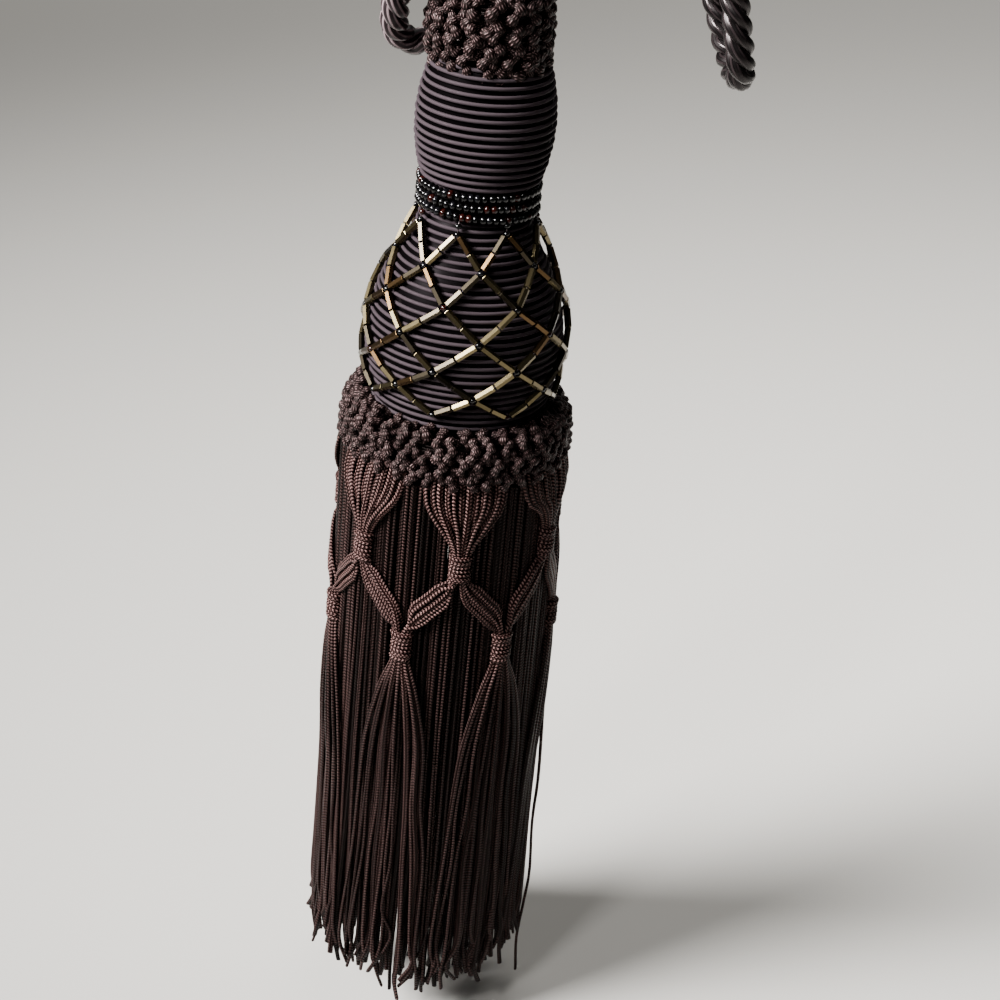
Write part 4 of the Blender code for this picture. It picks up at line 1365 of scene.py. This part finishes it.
@dataclass
class KnottedFringe:
    """Over-fringe: bundles wrapped, split in two, wrapped again with their neighbours and left to hang."""

    knots: int = 7
    strands: int = 12
    upper_azimuth: float = 7.6
    upper_shifts: tuple = ((0.6, 0.0), (0.8, 2.2), (-1.5, 0.6), (1.2, -0.8), (-0.8, 0.5), (-13.0, -0.4),
                           (0.0, 0.0))      # degrees and mm that each wrap is off its even place
    lower_shifts: tuple = ((0.8, 0.2), (-3.0, -0.3), (1.0, 0.8), (-1.2, -0.6), (0.9, 0.4), (0.4, 0.0),
                           (0.4, 0.2))
    upper_height: float = 124.2
    lower_height: float = 101.4
    half_height: float = 4.3
    half_width: float = 2.35
    half_depth: float = 1.5
    knot_radius: float = 27.3
    top: float = 143.4
    root_radius: float = 26.8
    end: float = -0.3
    scatter: float = 3.0        # mm, standard deviation of the strands' ends
    side_trim: float = 2.0      # mm that the strands at the two sides are shorter
    end_radius: float = 28.0
    shades: tuple = (-0.9, 0.2)
    girths: tuple = (0.92, 1.04)
    lustre: float = 2.56        # shade that the strands gain above the lower wraps
    lustre_drop: float = 8.0    # mm under a lower wrap's middle where half of it is gained
    lustre_fade: float = 3.0    # mm over which it comes
    grip: float = 0.3           # share of its girth that a strand loses in a wrap
    grip_reach: float = 5.0     # mm from a wrap's middle
    wrap_turns: float = 8.6
    wrap_shades: tuple = (2.6, 3.2)
    wrap_girth: float = 0.66
    crossing_shares: tuple = (0.24, 0.5, 0.76)      # of the way from an upper wrap to a lower one
    lone_route: tuple = ((80.0, 26.4, 143.0), (84.0, 27.0, 110.0), (86.0, 28.2, 75.0), (86.0, 29.2, 50.0),
                         (87.0, 29.0, 34.0), (86.0, 29.8, 18.0), (82.0, 29.2, 8.0), (79.0, 28.6, -2.0),
                         (81.0, 29.2, -14.0))
    root_spread: float = 3.6    # degrees between strands at the heading
    free_spread: float = 4.1    # and at their ends
    seed: int = 51

    def slots(self) -> list:
        """Where each strand of a bundle lies in a wrap: (share across, share in or out)."""
        middle = (self.strands - 1) / 2
        return [((k - middle) / middle, (-1) ** k * math.sqrt(max(0.0, 1 - abs((k - middle) / middle) ** 2)))
                for k in range(self.strands)]

    def upper_knot(self, number: int) -> tuple:
        """Azimuth and height of an upper wrap."""
        turn, rise = self.upper_shifts[number % self.knots]
        return self.upper_azimuth + FULL_TURN / self.knots * number + turn, self.upper_height + rise

    def lower_knot(self, number: int) -> tuple:
        """Azimuth and height of the lower wrap that follows an upper one."""
        turn, rise = self.lower_shifts[number % self.knots]
        azimuth = self.upper_azimuth + FULL_TURN / self.knots * (number + 0.5) + turn
        return azimuth, self.lower_height + rise

    def degrees(self, width: float) -> float:
        """An arc's length in mm at the knots' radius, in degrees."""
        return math.degrees(width / self.knot_radius)

    def strand(self, number: int, slot: int, rng: random.Random) -> Line:
        """Centre line of one strand, from the heading through both wraps to its end.

        Args:
            number: Its bundle's number round the fringe.
            slot: Its number in the bundle.
            rng: Source of the small differences from strand to strand.

        Returns:
            The strand's line.
        """
        across, layer = self.slots()[slot]
        middle = (self.strands - 1) / 2
        side = 1 if slot > middle else -1
        upper, upper_height = self.upper_knot(number)
        lower, lower_height = self.lower_knot(number if side > 0 else number - 1)
        half = self.strands // 2
        lane = (slot if side < 0 else slot - half) - (half - 1) / 2
        new_slot = (slot + half) % self.strands
        low_across, low_layer = self.slots()[new_slot]
        wrap = self.degrees(self.half_width) * 0.72
        depth = self.half_depth * 0.55
        upper_high, upper_low = upper_height + self.half_height, upper_height - self.half_height
        lower_high, lower_low = lower_height + self.half_height, lower_height - self.half_height
        root_turn = upper + (slot - middle) * self.root_spread
        loose = rng.uniform(-0.4, 0.4)
        free = (new_slot - middle) * self.free_spread + rng.gauss(0.0, 1.2)
        trim = self.side_trim * abs(math.sin(math.radians(lower)))
        end = self.end + trim + rng.gauss(0.0, self.scatter)
        fan = 0.86 * lane
        knot, free_radius = self.knot_radius, self.end_radius
        rows = [
            # out of the heading
            (root_turn, self.root_radius - 1.6, self.top + 4.0),
            (root_turn, self.root_radius + 0.25 * layer, self.top - 0.5),
            (root_turn + 0.12 * (upper - root_turn), self.root_radius + 0.8, self.top - 4.5),
            # through the upper wrap
            (upper + across * wrap * 2.9 + loose, knot + 0.6 + 0.5 * layer, upper_high + 5.5),
            (upper + across * wrap * 1.35, knot + 0.2 + depth * layer, upper_high + 1.0),
            (upper + across * wrap, knot + depth * layer, upper_height),
            (upper + across * wrap * 0.9 + side * 1.2, knot + depth * layer, upper_low - 0.3),
            # across to the lower wrap, and through it
            *((upper + (lower - upper) * share + side * fan * 0.95, knot + 0.3 + 0.2 * layer,
               upper_low + (lower_high - upper_low) * share + 0.6 + fan * 1.05)
              for share in self.crossing_shares),
            (lower + low_across * wrap * 0.9 - side * 1.0, knot + depth * low_layer, lower_high + 0.4),
            (lower + low_across * wrap, knot + depth * low_layer, lower_height),
            (lower + low_across * wrap * 1.25, knot + 0.2 + depth * low_layer, lower_low - 1.0),
            # free to its end
            (lower + free * 0.42 + loose, knot + 0.7 + 0.5 * low_layer, lower_low - 9.0),
            (lower + free * 0.68 + loose, knot + 0.7 + 0.4 * low_layer, lower_low - 24.0),
            (lower + free * 0.78 - loose * 2, free_radius - 0.5, lower_low - 42.0),
            (lower + free * 0.88 + loose * 3, free_radius - 0.4, lower_low - 60.0),
            (lower + free + rng.gauss(0.0, 1.2), free_radius - 0.3 + rng.uniform(-0.6, 0.4), end + 14.0),
            (lower + free + rng.gauss(0.0, 1.8), free_radius - 0.2 + rng.uniform(-0.6, 0.4), end + 6.0),
            (lower + free + rng.gauss(0.0, 2.8), free_radius + rng.uniform(-1.6, 0.8), end),
        ]
        azimuth, radius, height = np.array(rows).T
        path = smooth_path(UPRIGHT.points(azimuth, radius, height), KNOTTED_STEP * MM)
        level = (path[:, 2] / MM) + HOOK_HEIGHT
        grip = np.maximum(*(np.exp(-((level - wrapped) / self.grip_reach) ** 4)
                            for wrapped in (upper_height, lower_height)))
        start = lower_height - self.lustre_drop
        lustre = self.lustre / (1.0 + np.exp((start - level) / self.lustre_fade))
        return Line(path, phase=rng.gauss(0.0, 0.5), shade=rng.uniform(*self.shades) + lustre,
                    girth=rng.uniform(*self.girths) - self.grip * grip)

    def lone_strand(self, rng: random.Random) -> Line:
        """One strand that hangs below the rest at the right."""
        azimuth, radius, height = np.array(self.lone_route).T
        path = smooth_path(UPRIGHT.points(azimuth, radius, height), KNOTTED_STEP * MM)
        return Line(path, shade=rng.random(), girth=0.85)

    def wrap(self, azimuth: float, height: float, rng: random.Random) -> Line:
        """Centre line of the yarn wound round a bundle."""
        points_a_turn = 18
        share = np.linspace(0.0, 1.0, int(self.wrap_turns * points_a_turn))
        angle = share * self.wrap_turns * math.tau + rng.uniform(0, math.tau)
        waist = 1.0 - 0.12 * np.cos((share - 0.5) * math.pi)
        across = (self.half_width + 0.15) * waist * np.cos(angle)
        out = (self.half_depth + 0.25) * waist * np.sin(angle)
        rise = height + (share - 0.5) * 2 * (self.half_height - 0.6) + rng.uniform(-0.05, 0.05)
        tilt = 0.10 * across * rng.uniform(-1, 1)
        places = UPRIGHT.points(azimuth + np.degrees(across / self.knot_radius), self.knot_radius + out,
                                rise + tilt)
        return Line(places, phase=math.pi / 2 - 0.5, shade=rng.uniform(*self.wrap_shades),
                    girth=self.wrap_girth)

    def build(self, finish: YarnFinish) -> bpy.types.Object:
        """Knot the fringe.

        Args:
            finish: The fringe's finish.

        Returns:
            The piece.
        """
        rng = random.Random(self.seed)
        lines = [self.strand(k, slot, rng) for k in range(self.knots) for slot in range(self.strands)]
        lines.append(self.lone_strand(rng))
        for k in range(self.knots):
            lines.append(self.wrap(*self.upper_knot(k), rng))
            lines.append(self.wrap(*self.lower_knot(k), rng))
        piece = BRAID.spin("knotted_strands", lines, finish.material)
        return hand_over(piece, Slot.FRINGE, "knotted_fringe")


# ---- studio ------------------------------------------------------------------------
@dataclass(frozen=True)
class Lamp:
    """Soft rectangular light that faces a point."""

    name: str
    place: tuple
    power: float
    width: float
    tall: float
    target: tuple = (-0.014, 0.0, -0.15)
    colour: tuple = (1.0, 0.98, 0.97)
    spread_deg: float = 180.0

    def hang(self) -> None:
        """Add the light to the scene."""
        data = bpy.data.lights.new(self.name, "AREA")
        data.shape = "RECTANGLE"
        data.size = self.width
        data.size_y = self.tall
        data.energy = self.power
        data.color = self.colour
        data.spread = math.radians(self.spread_deg)
        made = linked(self.name, data)
        made.location = self.place
        aim = Vector(self.target) - Vector(self.place)
        made.rotation_euler = aim.to_track_quat("-Z", "Y").to_euler()


@dataclass
class Studio:
    """Camera, floor and soft lights."""

    lamps: tuple = (
        Lamp("key", (-1.22, -0.42, 0.76), 18.5, 0.80, 0.42, target=(-0.014, 0.0, -0.04), spread_deg=40.0),
        Lamp("glint", (-0.55, -0.80, 0.66), 1.0, 0.15, 0.15, target=(-0.014, 0.0, -0.08), spread_deg=60.0),
        Lamp("top", (0.4, 1.9, 2.0), 40.0, 2.2, 2.2, target=(0.3, 1.9, -0.3), colour=(1.0, 0.98, 0.95),
             spread_deg=130.0),
        Lamp("fill", (1.1, -1.2, 0.5), 0.2, 0.9, 0.9, colour=(0.96, 0.98, 1.0)),
    )
    sky_colour: tuple = (0.9, 0.95, 1.0, 1.0)
    sky_strength: float = 0.02
    lens: float = 72.0
    sensor: float = 36.0
    camera_place: tuple = (-0.014, -0.425, 0.0396)
    pitch_deg: float = 28.34
    roll_deg: float = 5.58
    yaw_deg: float = 1.665
    floor_height: float = -17.0             # mm over the fringe's nominal ends
    floor_back: float = 1.5                 # metres from the hook to the floor's middle
    floor_size: float = 7.0                 # metres
    floor_roughness: float = 0.7
    floor_colour: tuple = (0.40, 0.39, 0.365, 1.0)

    def camera(self) -> bpy.types.Object:
        """Place the camera and make it the scene's."""
        pitch, roll, yaw = (math.radians(a) for a in (self.pitch_deg, self.roll_deg, self.yaw_deg))
        ahead = Vector((math.sin(yaw) * math.cos(pitch), math.cos(yaw) * math.cos(pitch), -math.sin(pitch)))
        level = Vector((math.cos(yaw), -math.sin(yaw), 0.0))
        upright = level.cross(ahead)
        right = level * math.cos(roll) + upright * math.sin(roll)
        up = upright * math.cos(roll) - level * math.sin(roll)
        data = bpy.data.cameras.new("camera")
        data.lens = self.lens
        data.sensor_width = self.sensor
        data.clip_start = 0.01
        data.clip_end = 30.0
        made = linked("camera", data)
        made.matrix_world = Matrix((
            (right.x, up.x, -ahead.x, self.camera_place[0]),
            (right.y, up.y, -ahead.y, self.camera_place[1]),
            (right.z, up.z, -ahead.z, self.camera_place[2]),
            (0.0, 0.0, 0.0, 1.0)))
        bpy.context.scene.camera = made
        return made

    def floor(self) -> bpy.types.Object:
        """Plain pale floor a little below the fringe."""
        work = bmesh.new()
        bmesh.ops.create_grid(work, x_segments=1, y_segments=1, size=self.floor_size / 2)
        mesh = bpy.data.meshes.new("floor")
        work.to_mesh(mesh)
        work.free()
        material, graph, shader = new_material("floor_paint")
        graph.feed_all(shader, {"Base Color": self.floor_colour, "Roughness": self.floor_roughness})
        mesh.materials.append(material)
        made = linked("floor", mesh)
        made.location = (0.0, self.floor_back, (self.floor_height - HOOK_HEIGHT) * MM)
        return made

    def build(self) -> None:
        """Set the stage: camera, floor, window-like key from the left, weak fill and sky."""
        self.camera()
        self.floor()
        for lamp in self.lamps:
            lamp.hang()
        world = bpy.data.worlds.new("soft_sky")
        world.use_nodes = True
        sky = world.node_tree.nodes["Background"]
        sky.inputs["Color"].default_value = self.sky_colour
        sky.inputs["Strength"].default_value = self.sky_strength
        bpy.context.scene.world = world


# ---- finishes ----------------------------------------------------------------------
STRAIGHT = 1.0e6                # mm, a lay so long that the ribs run along the ply

ROPE = YarnFinish(Slot.ROPE, crown=(0.0070, 0.0046, 0.0052, 1.0), groove=(0.0020, 0.0013, 0.0015, 1.0),
                  fibre=(0.110, 0.082, 0.086, 1.0), ribs=7.0, lay=STRAIGHT, relief_depth=0.012,
                  fibre_twist=40.0, fibre_fineness=5.0, fibre_stretch=0.008, fibre_depth=0.006, gloss=0.20,
                  specular=0.21, tint=(1.0, 0.88, 0.88, 1.0))
BULLION = YarnFinish(Slot.BULLION, crown=(0.0070, 0.0034, 0.0032, 1.0), groove=(0.0020, 0.0008, 0.0007, 1.0),
                     fibre=(0.182, 0.118, 0.117, 1.0), relief=Relief.DOTS, ribs=11.0, stitch=0.46,
                     relief_depth=0.11, gloss=0.26, specular=0.09, tint=(1.0, 0.80, 0.76, 1.0))
WINDING = YarnFinish(Slot.WINDING, crown=(0.0235, 0.0180, 0.0208, 1.0), groove=(0.0235, 0.0180, 0.0208, 1.0),
                     fibre=(0.0245, 0.0190, 0.0218, 1.0), relief_depth=0.0, fibre_twist=0.0,
                     fibre_fineness=3.0, fibre_stretch=0.004, fibre_depth=0.008, gloss=0.34,
                     specular=0.012, tint=(1.0, 0.84, 0.92, 1.0))
FRINGE = YarnFinish(Slot.FRINGE, crown=(0.0034, 0.0009, 0.0007, 1.0), groove=(0.0014, 0.0003, 0.0002, 1.0),
                    fibre=(0.092, 0.054, 0.050, 1.0), relief=Relief.BRAID, stitch=0.84, slant=0.5,
                    relief_depth=0.16, gloss=0.24, specular=0.04, tint=(1.0, 0.80, 0.74, 1.0))
SEED_GLASS = GlassFinish(Slot.SEED_BEADS, plain=(0.001, 0.001, 0.001, 1.0), warm=(0.008, 0.0014, 0.0010, 1.0),
                         cool=(0.002, 0.002, 0.0025, 1.0), warm_share=0.16, cool_share=0.25,
                         metallic=0.0, roughness=0.04, specular=0.30)
BUGLE_GLASS = GlassFinish(Slot.BUGLE_BEADS, plain=(0.120, 0.096, 0.050, 1.0), warm=(0.070, 0.042, 0.019, 1.0),
                          cool=(0.034, 0.028, 0.019, 1.0), warm_share=0.22, cool_share=0.25,
                          metallic=1.0, roughness=0.25)


def main() -> None:
    """Build the stage and every piece of the tassel, and report each."""
    logging.basicConfig(level=logging.INFO, format="%(message)s")
    Studio().build()
    report(HangingCord().build(ROPE))
    report(Ruff("top_ruff_loops", "top_ruff", 61, tiers=5, loops=17, tier_foot=3.0, tier_rise=5.6,
                core_depth=2.7, loop_length=9.4, loop_depth=3.0, stagger=0.25, stray_deg=2.6, lean_mm=1.0,
                side_shift=-0.9, crown=((0.4, 258.4),),
                yarn=Yarn(lay=4.3, offset=0.80, depth=0.35, crossings=2.0, swell=0.27, ply_radius=1.10,
                          sides=12),
                strays=((34.0, 1.0, 62.0), (52.0, 1.9, -48.0), (70.0, 1.4, 70.0),
                        (12.0, 1.2, -30.0))).build(BULLION))
    report(Winding("wound_ball_cord", "wound_ball", 71, low=209.9, high=237.0,
                   below=((11.6, 209.2),), above=((12.8, 236.2), (11.6, 237.8)), proud=0.4).build(WINDING))
    report(Collar().build(SEED_GLASS))
    report(Winding("wound_bell_cord", "wound_bell", 72, low=155.6, high=209.6,
                   below=((20.6, 155.0),)).build(WINDING))
    for piece in BeadNet().build(BUGLE_GLASS, SEED_GLASS, ROPE):
        report(piece)
    report(Ruff("lower_ruff_loops", "lower_ruff", 62, tiers=4, loops=38, tier_foot=2.9, tier_rise=4.7,
                loop_length=7.2, foot_lift=2.6, stagger=0.5,
                crown=((27.2, 153.6), (26.4, 155.8), (24.4, 157.2), (21.8, 157.6))).build(BULLION))
    report(StraightFringe().build(FRINGE))
    report(KnottedFringe().build(FRINGE))


if __name__ == "__main__":
    main()
